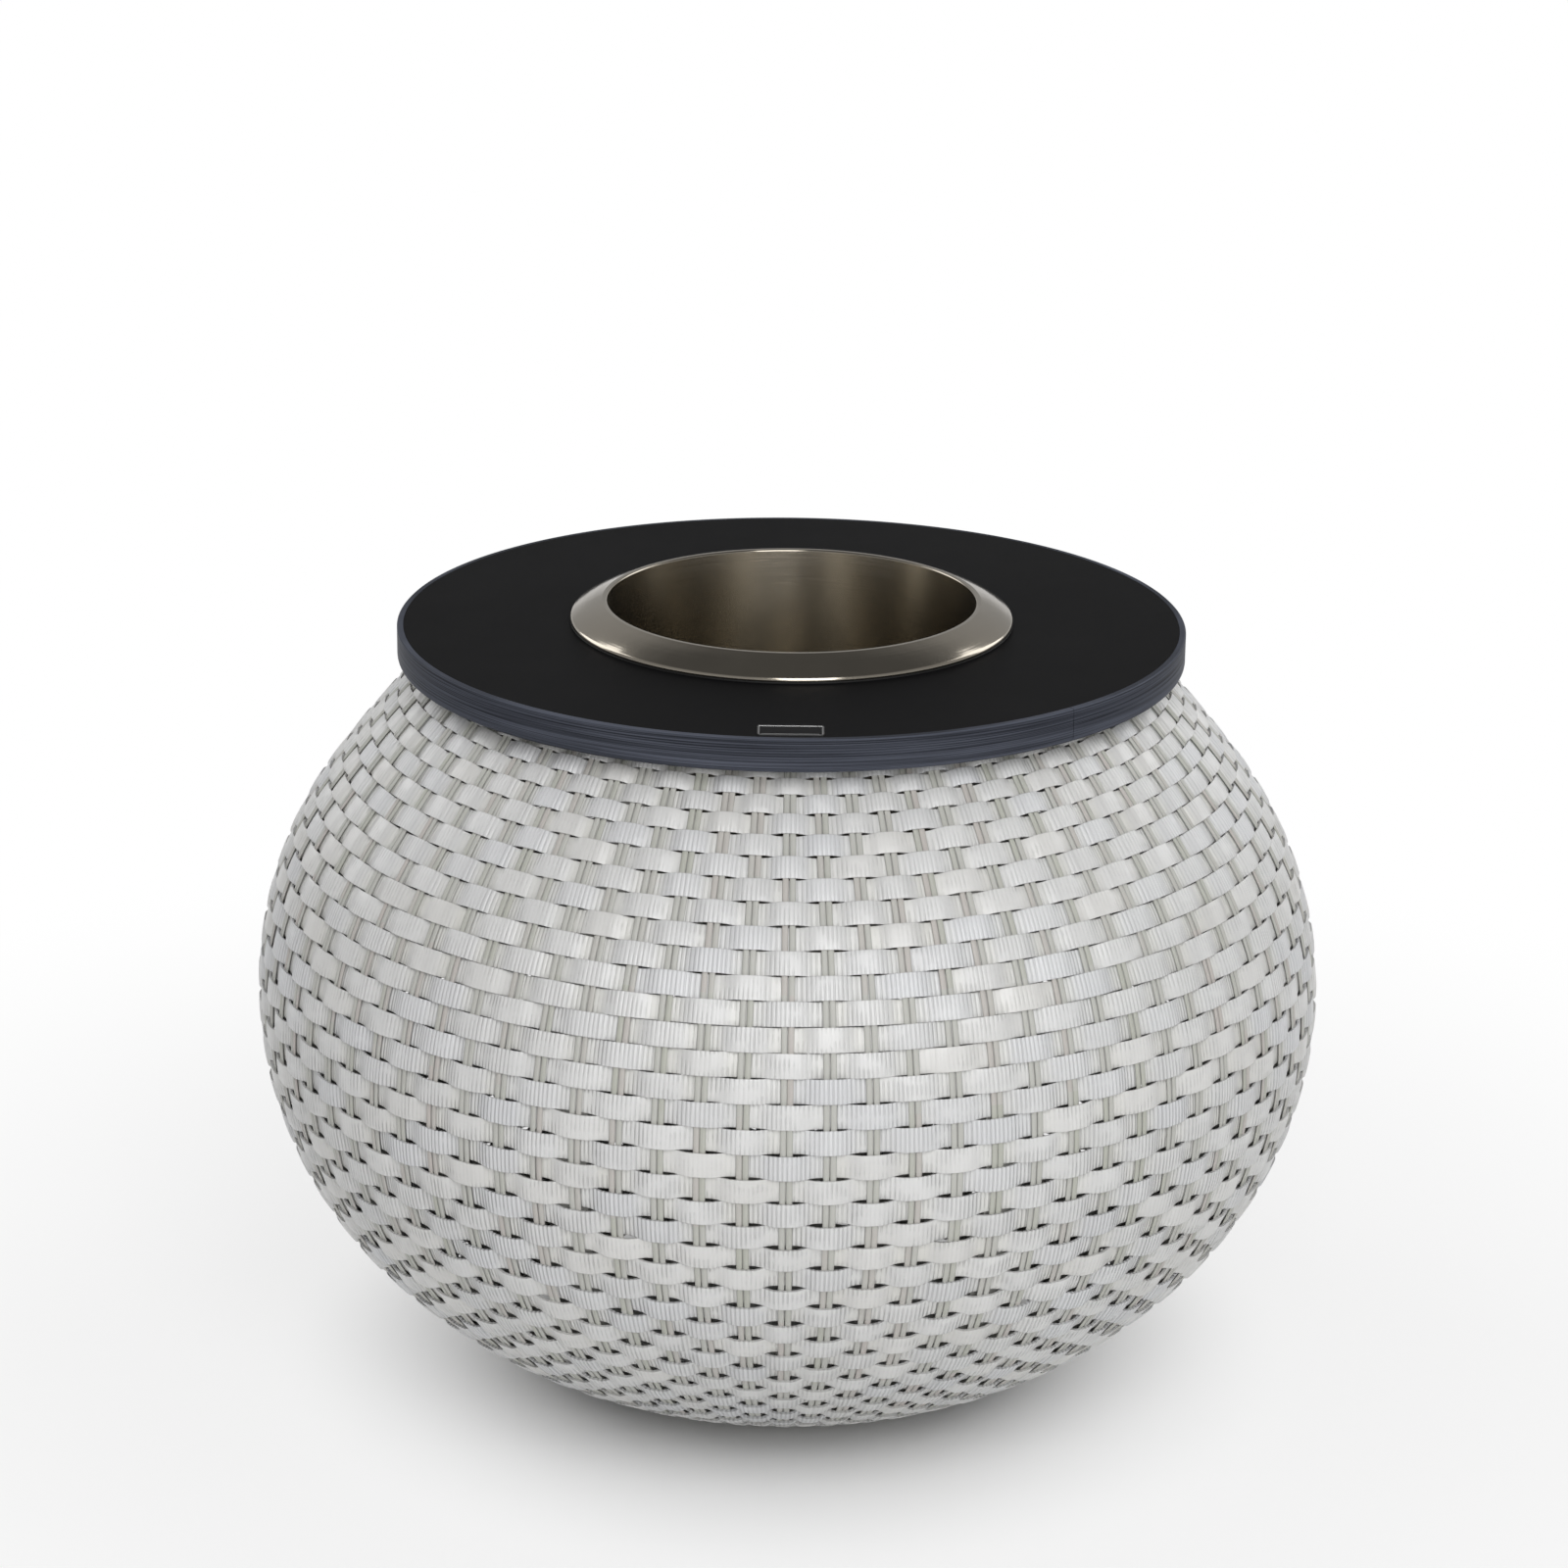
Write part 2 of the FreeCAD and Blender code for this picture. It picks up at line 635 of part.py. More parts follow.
def make_foot(number):
    """Plastic glide screwed up into the base ring."""
    body = new_body(f"foot_{number + 1}")
    round_section = new_sketch(body)
    draw_circle(round_section, "foot_radius", FOOT_CIRCLE)
    pad(body, round_section, "foot_height")
    ease(body, "Fillet", "foot_round", [("foot_radius", "0")])
    bore = new_sketch(body)
    draw_circle(bore, "foot_bore_radius", FOOT_CIRCLE)
    pocket(body, bore, "foot_bore_depth", upwards=True)
    hole = new_sketch(body)
    draw_circle(hole, "foot_hole_radius", FOOT_CIRCLE)
    pocket(body, hole, "foot_height", upwards=True)
    stand(body, "0", f"foot_start + {number} * 360 / foot_count")


def make_foot_screws():
    """Screws through the feet into the base ring, their heads sunk in the feet."""
    body = new_body("foot_screws")
    head_section = new_sketch(body)
    draw_circle(head_section, "foot_screw_head_radius", FOOT_CIRCLE)
    head = pad(body, head_section, "foot_screw_head_height")
    shank_section = new_sketch(body)
    draw_circle(shank_section, "foot_screw_radius", FOOT_CIRCLE)
    shank = pad(body, shank_section, "foot_screw_head_height + foot_screw_length")
    repeat_round(body, [head, shank], "foot_count")
    stand(body, "foot_bore_depth - foot_screw_head_height", "foot_start")


def make_ice_bucket():
    """Spun bucket: a wall and floor in one sheet with a sloping flange round the mouth."""
    body = new_body("ice_bucket")
    section = new_sketch(body, "XZ_Plane")
    rim = "flange_radius"
    seat = BUCKET_SEAT
    lip = BUCKET_HEIGHT
    lip_edge = "(mouth_radius + lip_width)"
    shoulder = f"({seat} + flange_edge)"
    draw_outline(section, [
        ("0", "0"),
        ("floor_radius + bucket_sheet", "0"),
        ("mouth_radius + bucket_sheet", f"{lip} - 2 * bucket_sheet"),
        (f"{rim} - bucket_sheet", f"{shoulder} - bucket_sheet / 2"),
        (f"{rim} - bucket_sheet", seat),
        (rim, seat),
        (rim, shoulder),
        (lip_edge, lip),
        ("mouth_radius", lip),
        ("floor_radius", "bucket_sheet"),
        ("0", "bucket_sheet"),
    ])
    revolve(body, section)
    ease(body, "Fillet", "bucket_floor_round", [("floor_radius", "bucket_sheet")])
    ease(body, "Fillet", "bucket_floor_round + bucket_sheet", [("floor_radius + bucket_sheet", "0")])
    ease(body, "Fillet", "lip_round", [(lip_edge, lip), ("mouth_radius", lip), (rim, shoulder)])
    stand(body, BUCKET_BASE)


def make_bucket_gasket():
    """Soft ring under the flange's edge, which keeps metal off the board."""
    make_flat_ring("bucket_gasket", "top_height", "flange_radius", "gasket_width", "gasket_thickness")


def build():
    """Make every sub-part."""
    make_arcs()
    make_table_top()
    make_edge_band()
    make_name_plate()
    make_top_ring()
    make_fixings()
    make_hoops()
    for number in range(round(worth("rib_count"))):
        make_rib(number)
    make_base_ring()
    make_base_binding()
    make_warp_stakes()
    make_woven_shell()
    for number in range(round(worth("foot_count"))):
        make_foot(number)
    make_foot_screws()
    make_ice_bucket()
    make_bucket_gasket()
    doc.recompute()


def sub_parts():
    """List the objects that are sub-parts: each body, torus and plain shape."""
    kinds = ("PartDesign::Body", "Part::Torus", "Part::Feature")
    return [item for item in doc.Objects if item.TypeId in kinds]


def check_and_export():
    """Stop if anything failed, then write each sub-part to its own file."""
    for item in doc.Objects:
        if "Invalid" in item.State or "Error" in item.State:
            raise RuntimeError(f"{item.Label}: {item.State}")
    for item in sub_parts():
        if item.Shape.isNull() or not item.Shape.isValid():
            raise RuntimeError(f"{item.Label}: its shape is empty or not valid")
    os.makedirs("parts", exist_ok=True)
    for item in sub_parts():
        item.Shape.exportStep(os.path.join("parts", item.Label + ".step"))
        print(f"{item.Label}: {len(item.Shape.Solids)} solids, {item.Shape.Volume / 1000:.1f} cm3")


build()
check_and_export()
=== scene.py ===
"""Dress the ice bucket coffee table: woven base, round board, lift-out steel bucket and plain stage."""

import math

import bpy
import numpy as np
from bpy.props import FloatProperty, FloatVectorProperty, IntProperty, PointerProperty
from mathutils import Matrix, Vector


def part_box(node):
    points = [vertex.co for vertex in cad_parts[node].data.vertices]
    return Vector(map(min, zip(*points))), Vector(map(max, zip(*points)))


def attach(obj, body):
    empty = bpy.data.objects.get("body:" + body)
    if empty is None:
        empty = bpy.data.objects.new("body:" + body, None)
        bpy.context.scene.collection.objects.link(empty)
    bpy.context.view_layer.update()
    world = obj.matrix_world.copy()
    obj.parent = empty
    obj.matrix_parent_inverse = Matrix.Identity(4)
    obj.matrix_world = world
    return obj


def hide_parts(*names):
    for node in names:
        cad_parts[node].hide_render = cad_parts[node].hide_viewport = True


bl_info = {
    "name": "Ice Bucket Coffee Table",
    "version": (1, 0, 0),
    "blender": (4, 5, 0),
    "location": "View3D > Sidebar > Table",
    "description": "Models the woven base, the board and the steel bucket of a round patio table",
    "category": "Add Mesh",
}

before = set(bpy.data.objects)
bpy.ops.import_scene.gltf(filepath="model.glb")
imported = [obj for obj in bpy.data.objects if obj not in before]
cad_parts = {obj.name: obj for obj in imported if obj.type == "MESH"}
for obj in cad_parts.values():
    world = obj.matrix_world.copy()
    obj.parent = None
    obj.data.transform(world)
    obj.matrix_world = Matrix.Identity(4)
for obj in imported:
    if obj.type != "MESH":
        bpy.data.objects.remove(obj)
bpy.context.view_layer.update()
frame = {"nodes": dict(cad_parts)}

RIBS = [name for name in frame["nodes"] if name.startswith("rib_")]
FEET = [name for name in frame["nodes"] if name.startswith("foot_") and name != "foot_screws"]
HOOPS = ["upper_hoop", "waist_hoop", "lower_hoop"]
FULL_TURN = 2 * math.pi
SEEN_RAYS = ["Camera", "Glossy", "Transmission"]

# Pieces that the rows of strip are joined into, and steps of their mesh from one stake to the next.
ROW_GROUPS = 5
STEPS_PER_STAKE = 10
# Where the lines along a strip lie across its width, and how steeply its long edges fall back.
STRIP_PROFILE = np.array([0.0, 0.05, 0.33, 0.67, 0.95, 1.0])
CAMBER_POWER = 6
# Shares of the base's height, and how much of its full sag a strip has at each of them but the last.
BOW_LEVELS = [0.1, 0.3, 0.5, 0.68, 1.0]
BOW_SAGS = np.array([1.0, 0.9, 0.45, 0.0])
# How much of its bow a strip gains in width over its stake.
BOW_WIDENING = 0.5
# What a row leaves free at both edges of its share of the map.
ROW_INSET = 0.02
# The length along a strip and the distance between its fine ribs are in millimetres.
MILLIMETRES = 1000
RIB_PITCH = 2.1

# Steps round a strand of a stake, and steps along it for each row.
STRAND_STEPS = 8
STRAND_STEPS_PER_ROW = 3
# What stays free between a strand and the strips that it passes.
STRAND_CLEARANCE = 0.00005
# How far a strand wanders sideways, how fast, and the greatest difference in where it starts.
WOBBLE = 0.00012
WOBBLE_RATE = 17
WOBBLE_PHASE = 6
# How far round the table a stake stands from its place, in radians.
STAKE_SCATTER = 0.0008
# What a strand leaves free at both edges of its share of the map, and what it takes up.
STRAND_INSET = 0.05
STRAND_SHARE = 1 - 2 * STRAND_INSET
# Length of a strand and of the part of it that has one tint, in millimetres.
STRAND_RUN = 480
TINT_LENGTH = 60

# Steps once round the table.
EDGING_STEPS = 288
BUCKET_STEPS = 224
# How far up a normal points on a face that is chosen as an upper one, and on one that lies flat.
FACES_UP = 0.9
LIES_FLAT = 0.99

WEAVE_SEED = 11
STAKE_SEED = 5


def length(name, description, default):
    """Declare a length in metres."""
    return FloatProperty(name=name, description=description, default=default, min=0.0, unit="LENGTH",
                         subtype="DISTANCE", precision=5)


def place(name, description, default):
    """Declare a place in metres."""
    return FloatVectorProperty(name=name, description=description, default=default, unit="LENGTH",
                               subtype="XYZ")


def power(name, description, default):
    return FloatProperty(name=name, description=description, default=default, min=0.0, unit="POWER")


def angle(name, description, degrees):
    """Declare an angle."""
    return FloatProperty(name=name, description=description, default=math.radians(degrees),
                         unit="ROTATION", subtype="ANGLE")


def colour(name, description, red, green, blue):
    """Declare a colour that is given as it looks on a screen, from 0 to 255."""
    return FloatVectorProperty(name=name, description=description, subtype="COLOR", min=0, max=1,
                               default=screen_colour(red, green, blue))


def screen_colour(red, green, blue):
    """Turn a colour as it looks on a screen into the shader's linear one."""
    shares = [part / 255 for part in (red, green, blue)]
    return tuple(share / 12.92 if share <= 0.04045 else ((share + 0.055) / 1.055) ** 2.4
                 for share in shares)


class WeaveSizes(bpy.types.PropertyGroup):
    """Sizes of the woven base."""
    row_count: IntProperty(name="Rows", description="Rows of strip from the foot to the board",
                           default=39, min=3)
    stake_count: IntProperty(name="Stakes", description="Upright stakes, an even number", default=84,
                             min=8, step=2)
    foot_height: length("Foot height", "Where the lowest row starts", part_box("woven_shell")[0][2])
    mouth_height: length("Mouth height", "Where the top row ends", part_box("woven_shell")[1][2])
    belly_radius: length("Belly radius", "Outside of the base at its widest level", 0.2605)
    belly_height: length("Belly height", "Height of the widest level", 0.1965)
    crown_arc: length("Crown arc", "Radius of the outline next to the board", 0.6487)
    upper_arc: length("Upper arc", "Radius of the outline above the widest level", 0.1799)
    upper_turn: angle("Upper turn", "How far the upper arc turns", 37)
    lower_arc: length("Lower arc", "Radius of the outline below the widest level", 0.184)
    lower_turn: angle("Lower turn", "How far the lower arc turns", 41)
    base_arc: length("Base arc", "Radius of the outline next to the foot", 0.2359)
    crowding: length("Crowding", "How much height the rows next to the board lose by lying closer",
                     0.01625)
    crowded_rows: FloatProperty(name="Crowded rows", default=3, min=0.1,
                                description="How many rows below the board lie closer")
    strip_thickness: length("Strip thickness", "Thickness of a strip", 0.0012)
    strip_gap: length("Strip gap", "Gap between two rows", 0.00020)
    strip_camber: length("Strip camber", "How far a strip's long edges fall back", 0.00022)
    weave_depth: length("Weave depth", "How far a strip moves in and out", 0.0023)
    dive_start: FloatProperty(name="Dive start", default=0.22, min=0, max=1,
                              description="Share of the way to the next stake where a strip falls")
    dive_end: FloatProperty(name="Dive end", default=0.72, min=0, max=1,
                            description="Share of the way to the next stake where a strip lies behind")
    lift_scatter: length("Lift scatter", "How far a strip strays up or down", 0.00022)
    depth_scatter: length("Depth scatter", "How far a strip strays inwards", 0.00016)
    tilt_scatter: length("Tilt scatter", "How far a strip's edges stray in and out", 0.00018)
    stake_width: length("Stake width", "Width of a stake's two strands together", 0.0061)
    strand_gap: length("Strand gap", "Gap between a stake's two strands", 0.00024)
    stake_thickness: length("Stake thickness", "Thickness of a stake", 0.0011)
    bow_low: length("Bow at the foot", "How far a strip sags over its stake near the foot", 0.0010)
    bow_high: length("Bow at the mouth", "How far a strip rises over its stake near the board", 0.0002)
    wrap_width: length("Wrap width", "Width of the wrap round the base ring", 0.0040)
    wrap_turns: IntProperty(name="Wrap turns", description="How often the strip goes round the ring",
                            default=124, min=8)


class BoardSizes(bpy.types.PropertyGroup):
    """Sizes of the board's edging and name plate."""
    band_radius: length("Band radius", "Outside of the edging", 0.190)
    band_thickness: length("Band thickness", "Thickness of the edging", 0.003)
    band_low: length("Band foot", "Lower edge of the edging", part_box("edge_band")[0][2])
    band_high: length("Band top", "Upper edge of the edging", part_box("edge_band")[1][2])
    band_bevel: length("Band bevel", "Bevel along the upper edge", 0.0006)
    band_crease: length("Band crease", "Rounding along both edges of the bevel", 0.00015)
    band_round: length("Band round", "Rounding along the lower edge", 0.0024)
    seam_width: length("Seam width", "Gap between the ends of the edging", 0.0004)
    seam_angle: angle("Seam angle", "Where the ends of the edging meet", -47.5)
    plate_corner: length("Plate corner", "Rounding of the plate's corners", 0.001)
    plate_rim: length("Plate rim", "Width of the plate's bright rim", 0.0004)
    plate_step: length("Plate step", "Width of the step inside the rim", 0.0001)
    plate_depth: length("Plate depth", "How far the plate's face lies below its rim", 0.00012)


class BucketSizes(bpy.types.PropertyGroup):
    """Sizes of the bucket."""
    base_height: length("Base height", "Underside of the bucket's floor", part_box("ice_bucket")[0][2])
    lip_height: length("Lip height", "Top of the bucket's lip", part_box("ice_bucket")[1][2])
    floor_radius: length("Floor radius", "Inside of the bucket at its floor", 0.080)
    mouth_radius: length("Mouth radius", "Inside of the bucket at its mouth", 0.089)
    flange_radius: length("Flange radius", "Outside of the flange", 0.107)
    flange_drop: length("Flange drop", "From the lip down to the flange's underside", 0.0094)
    flange_edge: length("Flange edge", "Height of the flange's outer edge", 0.0018)
    flange_swell: length("Flange swell", "How far the flange bulges from its edge to the lip", 0.0008)
    flange_round: length("Flange round", "Rounding of the flange between its edge and the lip", 0.0600)
    edge_round: length("Edge round", "Rounding over the flange's outer edge", 0.0023)
    hem_round: length("Hem round", "Rounding of the flange's lower edge", 0.0003)
    lip_width: length("Lip width", "Width of the rolled lip", 0.0024)
    lip_round: length("Lip round", "Rounding between the flange and the lip", 0.0010)
    mouth_round: length("Mouth round", "Rounding between the lip and the wall", 0.0009)
    sheet: length("Sheet", "Thickness of the steel", 0.0012)
    floor_round: length("Floor round", "Rounding between floor and wall", 0.018)
    gasket_width: length("Gasket width", "Width of the soft ring", 0.0033)
    gasket_setback: length("Gasket setback", "From the flange's edge in to the ring", 0.0001)


class Finishes(bpy.types.PropertyGroup):
    """Colours of the table."""
    strip: colour("Strip", "Woven strips", 223, 223, 222)
    strip_warm: colour("Warm strip", "Strips on the warm side", 222, 221, 218)
    strip_cool: colour("Cool strip", "Strips on the cool side", 222, 223, 225)
    strip_end: colour("Strip end", "Strips next to the stakes that they pass behind", 224, 223, 215)
    stake: colour("Stake", "Upright stakes", 194, 194, 188)
    stake_olive: colour("Olive stake", "Stakes on the green side", 187, 188, 178)
    stake_pink: colour("Pink stake", "Stakes on the red side", 196, 190, 185)
    board: colour("Board", "Face of the board", 22, 22, 23)
    board_worn: colour("Worn board", "Face of the board where it is paler", 26, 26, 27)
    edging: colour("Edging", "Edging of the board", 69, 72, 81)
    plate_face: colour("Plate face", "Bare face of the name plate", 30, 30, 31)
    plate_rim: colour("Plate rim", "Rim of the name plate", 160, 160, 160)
    steel: colour("Steel", "Polished steel", 166, 159, 147)
    inside: colour("Inside", "Brushed steel inside the bucket", 162, 156, 144)
    frame: colour("Frame", "Powder-coated frame", 200, 199, 194)
    gasket: colour("Gasket", "Soft ring under the flange", 12, 12, 12)
    fixing: colour("Fixings", "Screws and washers", 190, 190, 188)
    brass: colour("Brass", "Threaded inserts", 190, 160, 95)
    glide: colour("Glide", "Plastic feet", 42, 42, 43)
    floor: colour("Floor", "Studio floor", 241, 241, 241)


class StageSettings(bpy.types.PropertyGroup):
    """Camera, lights and floor."""
    lens: FloatProperty(name="Lens", description="Focal length in millimetres", default=106.13, min=1)
    camera_place: place("Camera", "Where the camera stands", (-0.00277, -2.1445, 1.0067))
    camera_dip: angle("Camera dip", "How far the camera looks down", 18.33)
    camera_roll: angle("Camera roll", "How far the camera leans", 0.623)
    key_power: power("Key", "Power of the light at the front", 43)
    key_place: place("Key place", "Where the light at the front hangs", (0.38, -2.33, 1.65))
    key_width: length("Key width", "Width of the light at the front", 1.3)
    key_height: length("Key height", "Height of the light at the front", 2.2)
    back_power: power("Back", "Power of each of the two lights at the back", 14.5)
    back_place: place("Back place", "Where the right one of the two hangs", (1.93, 1.27, 1.4))
    back_width: length("Back width", "Width of each light at the back", 1.2)
    back_height: length("Back height", "Height of each light at the back", 1.6)
    aim_height: length("Aim height", "Height of the place that the lights face", 0.2)
    sky: FloatProperty(name="Sky", description="Strength of the light from all round", default=0.26,
                       min=0)
    floor_reach: length("Floor reach", "Radius of the floor", 9)


class Wire:
    """An output of a shader node, on which arithmetic adds Math nodes."""

    def __init__(self, finish, socket):
        self.finish = finish
        self.socket = socket

    def maths(self, operation, *terms):
        """Add a Math node."""
        return self.finish.node("ShaderNodeMath", {"operation": operation}, dict(enumerate(terms)))

    def __add__(self, other):
        return self.maths("ADD", self, other)

    def __sub__(self, other):
        return self.maths("SUBTRACT", self, other)

    def __rsub__(self, other):
        return self.maths("SUBTRACT", other, self)

    def __mul__(self, other):
        return self.maths("MULTIPLY", self, other)

    def __truediv__(self, other):
        return self.maths("DIVIDE", self, other)

    def __mod__(self, other):
        return self.maths("FLOORED_MODULO", self, other)

    def __abs__(self):
        return self.maths("ABSOLUTE", self)

    def floor(self):
        """Round down."""
        return self.maths("FLOOR", self)

    def sine(self):
        """Take the sine."""
        return self.maths("SINE", self)

    __radd__ = __add__
    __rmul__ = __mul__


class Finish:
    """A material, or a world, and the nodes that make it."""

    def __init__(self, name, kind="materials"):
        self.material = getattr(bpy.data, kind).new(name)
        self.material.use_nodes = True
        self.tree = self.material.node_tree
        self.tree.nodes.clear()

    def node(self, kind, settings=None, sockets=None, output=0):
        """Add a node, set it up, fill its sockets with values or wires and give one of its outputs."""
        node = self.tree.nodes.new(kind)
        for name, value in (settings or {}).items():
            if name == "stops":
                self.set_stops(node.color_ramp.elements, value)
            else:
                setattr(node, name, value)
        for name, value in (sockets or {}).items():
            if isinstance(value, Wire):
                self.tree.links.new(value.socket, node.inputs[name])
            else:
                node.inputs[name].default_value = value
        return Wire(self, node.outputs[output]) if node.outputs else node

    def set_stops(self, elements, stops):
        """Give a colour ramp its stops."""
        for number, (position, tint) in enumerate(stops):
            element = elements[number] if number < 2 else elements.new(position)
            element.position = position
            element.color = (*tint, 1)

    def place(self):
        """Give the place on the piece, in metres."""
        return self.node("ShaderNodeTexCoord", output="Object")

    def map_parts(self, name):
        """Give the two parts of a UV map."""
        where = self.node("ShaderNodeUVMap", {"uv_map": name})
        return [self.node("ShaderNodeSeparateXYZ", sockets={0: where}, output=part) for part in "XY"]

    def join(self, across, along):
        """Make a vector of two values."""
        return self.node("ShaderNodeCombineXYZ", sockets={0: across, 1: along})

    def stretch(self, vector, across, along, up):
        """Multiply a vector by three values."""
        factors = (across, along, up)
        return self.node("ShaderNodeVectorMath", {"operation": "MULTIPLY"}, {0: vector, 1: factors})

    def noise(self, vector, scale, detail=2.0, roughness=0.5):
        """Give soft noise from 0 to 1."""
        sockets = {"Vector": vector, "Scale": scale, "Detail": detail, "Roughness": roughness}
        return self.node("ShaderNodeTexNoise", sockets=sockets)

    def chance(self, across, along):
        """Give one random value for each pair of whole numbers."""
        return self.node("ShaderNodeTexWhiteNoise", {"noise_dimensions": "2D"},
                         {"Vector": self.join(across, along)})

    def span(self, value, low, high, start=0.0, end=1.0):
        """Move a range of values smoothly to another."""
        limits = {"From Min": low, "From Max": high, "To Min": start, "To Max": end}
        return self.node("ShaderNodeMapRange", {"interpolation_type": "SMOOTHSTEP", "clamp": True},
                         {"Value": value, **limits})

    def tints(self, value, stops):
        """Give the colour that a value picks from a ramp."""
        return self.node("ShaderNodeValToRGB", {"stops": stops}, {0: value})

    def blend(self, share, first, second):
        """Mix two colours."""
        sockets = {0: share}
        for number, tint in ((6, first), (7, second)):
            sockets[number] = tint if isinstance(tint, Wire) else (*tint, 1)
        return self.node("ShaderNodeMix", {"data_type": "RGBA"}, sockets, output=2)

    def shade(self, tint, light):
        """Multiply a colour by a value."""
        return self.node("ShaderNodeVectorMath", {"operation": "SCALE"}, {0: tint, 3: light})

    def bump(self, height, distance):
        """Give the normal of a surface that rises by a distance where height is 1."""
        sockets = {"Strength": 1.0, "Distance": distance, "Height": height}
        return self.node("ShaderNodeBump", sockets=sockets)

    def seen(self, kinds=SEEN_RAYS):
        """Give 1 to rays of these kinds, else 0: the camera's and what a mirror or glass sends on."""
        first, *others = [self.node("ShaderNodeLightPath", output=f"Is {kind} Ray") for kind in kinds]
        return first.maths("MINIMUM", sum(others, first), 1.0)

    def close(self, tint, **sockets):
        """End on one surface shader."""
        sockets["Base Color"] = tint if isinstance(tint, Wire) else (*tint, 1)
        names = {key.replace("_", " "): value for key, value in sockets.items()}
        surface = self.node("ShaderNodeBsdfPrincipled", sockets=names)
        self.node("ShaderNodeOutputMaterial", sockets={"Surface": surface})
        return self.material


def finishes():
    """Give the table's colours."""
    return bpy.context.scene.table_finishes


def strip_finish():
    """Off-white resin strip: each length over a stake has its own tint, and fine ribs cross it."""
    looks = finishes()
    finish = Finish("strip")
    stake, row = finish.map_parts("weave")
    run, _ = finish.map_parts("run")
    number = row.floor()
    across = abs(row - number - 0.5) * 2
    # A block is a strip's length over one stake, where within goes from -1 to 1 and is 0 at the stake.
    turned = stake + 1 - number % 2
    block = (turned / 2).floor()
    within = turned % 2 - 1
    # Each chance has its own offsets, so that no two of them agree.
    pick = finish.chance(block, number)
    drift = finish.chance(block + 37, number + 11)
    turn = finish.chance(block + 5, number + 71)
    tint = finish.tints(pick, [(0.0, looks.strip_warm), (0.3, looks.strip), (0.6, looks.strip),
                               (1.0, looks.strip_cool)])
    patch = finish.noise(finish.join(stake, row), scale=1.3, detail=3.0)
    fold = 0.40
    ends = finish.span(abs(within), fold, 0.75)
    tint = finish.blend(ends * (0.1 + turn * 0.5), tint, looks.strip_end)
    # Painted shade darkens each strip round its fold, where it bends towards the next stake.
    fold_shade = finish.span(abs(abs(within) - fold), 0.02, 0.34, start=1.0, end=0.0) * (0.02 + turn * 0.07)
    # Painted shade darkens each strip along its long edges, where the rows meet.
    edge = finish.span(across, 0.88, 1.0, start=1.0, end=0.66)
    wave = (run * (FULL_TURN / RIB_PITCH) + turn * 9).sine() * 0.5 + 0.5
    jagged = finish.noise(finish.join(run * 0.9, number * 5.3), scale=1.0)
    trough = 1 - wave * 0.8 - jagged * 0.4
    # The ribs are deepest from this row down, and only half as deep from the higher one up.
    deep_row, plain_row = 16, 33
    reach = finish.span(number, plain_row, deep_row, start=0.5)
    reach = reach * finish.span(patch + pick * 0.25, 0.45, 0.72, start=0.15)
    # Painted shade darkens the grooves between the ribs, which are bumped as well.
    groove = trough * trough * reach
    light = (0.965 + drift * 0.06 - fold_shade) * edge * (1 - groove * 0.34) * (0.985 + patch * 0.03)
    speck = finish.noise(finish.join(run * 3.1, row * 34), scale=1.0, detail=3.0, roughness=0.7)
    height = 1 - groove + speck * 0.10
    return finish.close(finish.shade(tint, light), Roughness=0.32 + speck * 0.10,
                        Specular_IOR_Level=1.0, Normal=finish.bump(height, distance=0.0006))


def stake_finish():
    """Warm grey resin strand with fine lengthwise lines and painted shade along its sides."""
    looks = finishes()
    finish = Finish("stake")
    strand, run = finish.map_parts("strand")
    number = strand.floor()
    pick = finish.chance(number, (run / TINT_LENGTH).floor())
    tint = finish.tints(pick, [(0.0, looks.stake_olive), (0.35, looks.stake), (0.7, looks.stake),
                               (1.0, looks.stake_pink)])
    lines = finish.noise(finish.join(strand * 60, run * 0.15), scale=1.0)
    # The second half of a strand's map is its front, which goes from -1 to 1 here.
    front = (strand - number - (STRAND_INSET + STRAND_SHARE * 0.75)) / (STRAND_SHARE * 0.25)
    # Painted shade darkens the sides of each strand's front.
    light = 0.92 + lines * 0.16 - finish.span(abs(front), 0.55, 1.0, end=0.34)
    return finish.close(finish.shade(tint, light), Roughness=0.34 + lines * 0.12,
                        Normal=finish.bump(lines, distance=0.00012))


def binding_finish():
    """Strip wound round the base ring."""
    looks = finishes()
    finish = Finish("binding")
    soft = finish.noise(finish.place(), scale=900)
    wide = finish.noise(finish.place(), scale=60)
    tint = finish.blend(wide, looks.strip, looks.strip_warm)
    return finish.close(finish.shade(tint, 0.9 + soft * 0.1), Roughness=0.46 + soft * 0.12,
                        Normal=finish.bump(soft, distance=0.0001))


def board_finish():
    """Satin black laminate with a fine even grain."""
    looks = finishes()
    finish = Finish("board")
    grain = finish.noise(finish.place(), scale=2600, roughness=0.6)
    wear = finish.noise(finish.place(), scale=22, detail=4.0, roughness=0.6)
    tint = finish.blend(wear, looks.board, looks.board_worn)
    return finish.close(finish.shade(tint, 0.92 + grain * 0.16),
                        Roughness=0.36 + wear * 0.10 + grain * 0.04, Specular_IOR_Level=0.012,
                        Normal=finish.bump(grain, distance=0.00004))


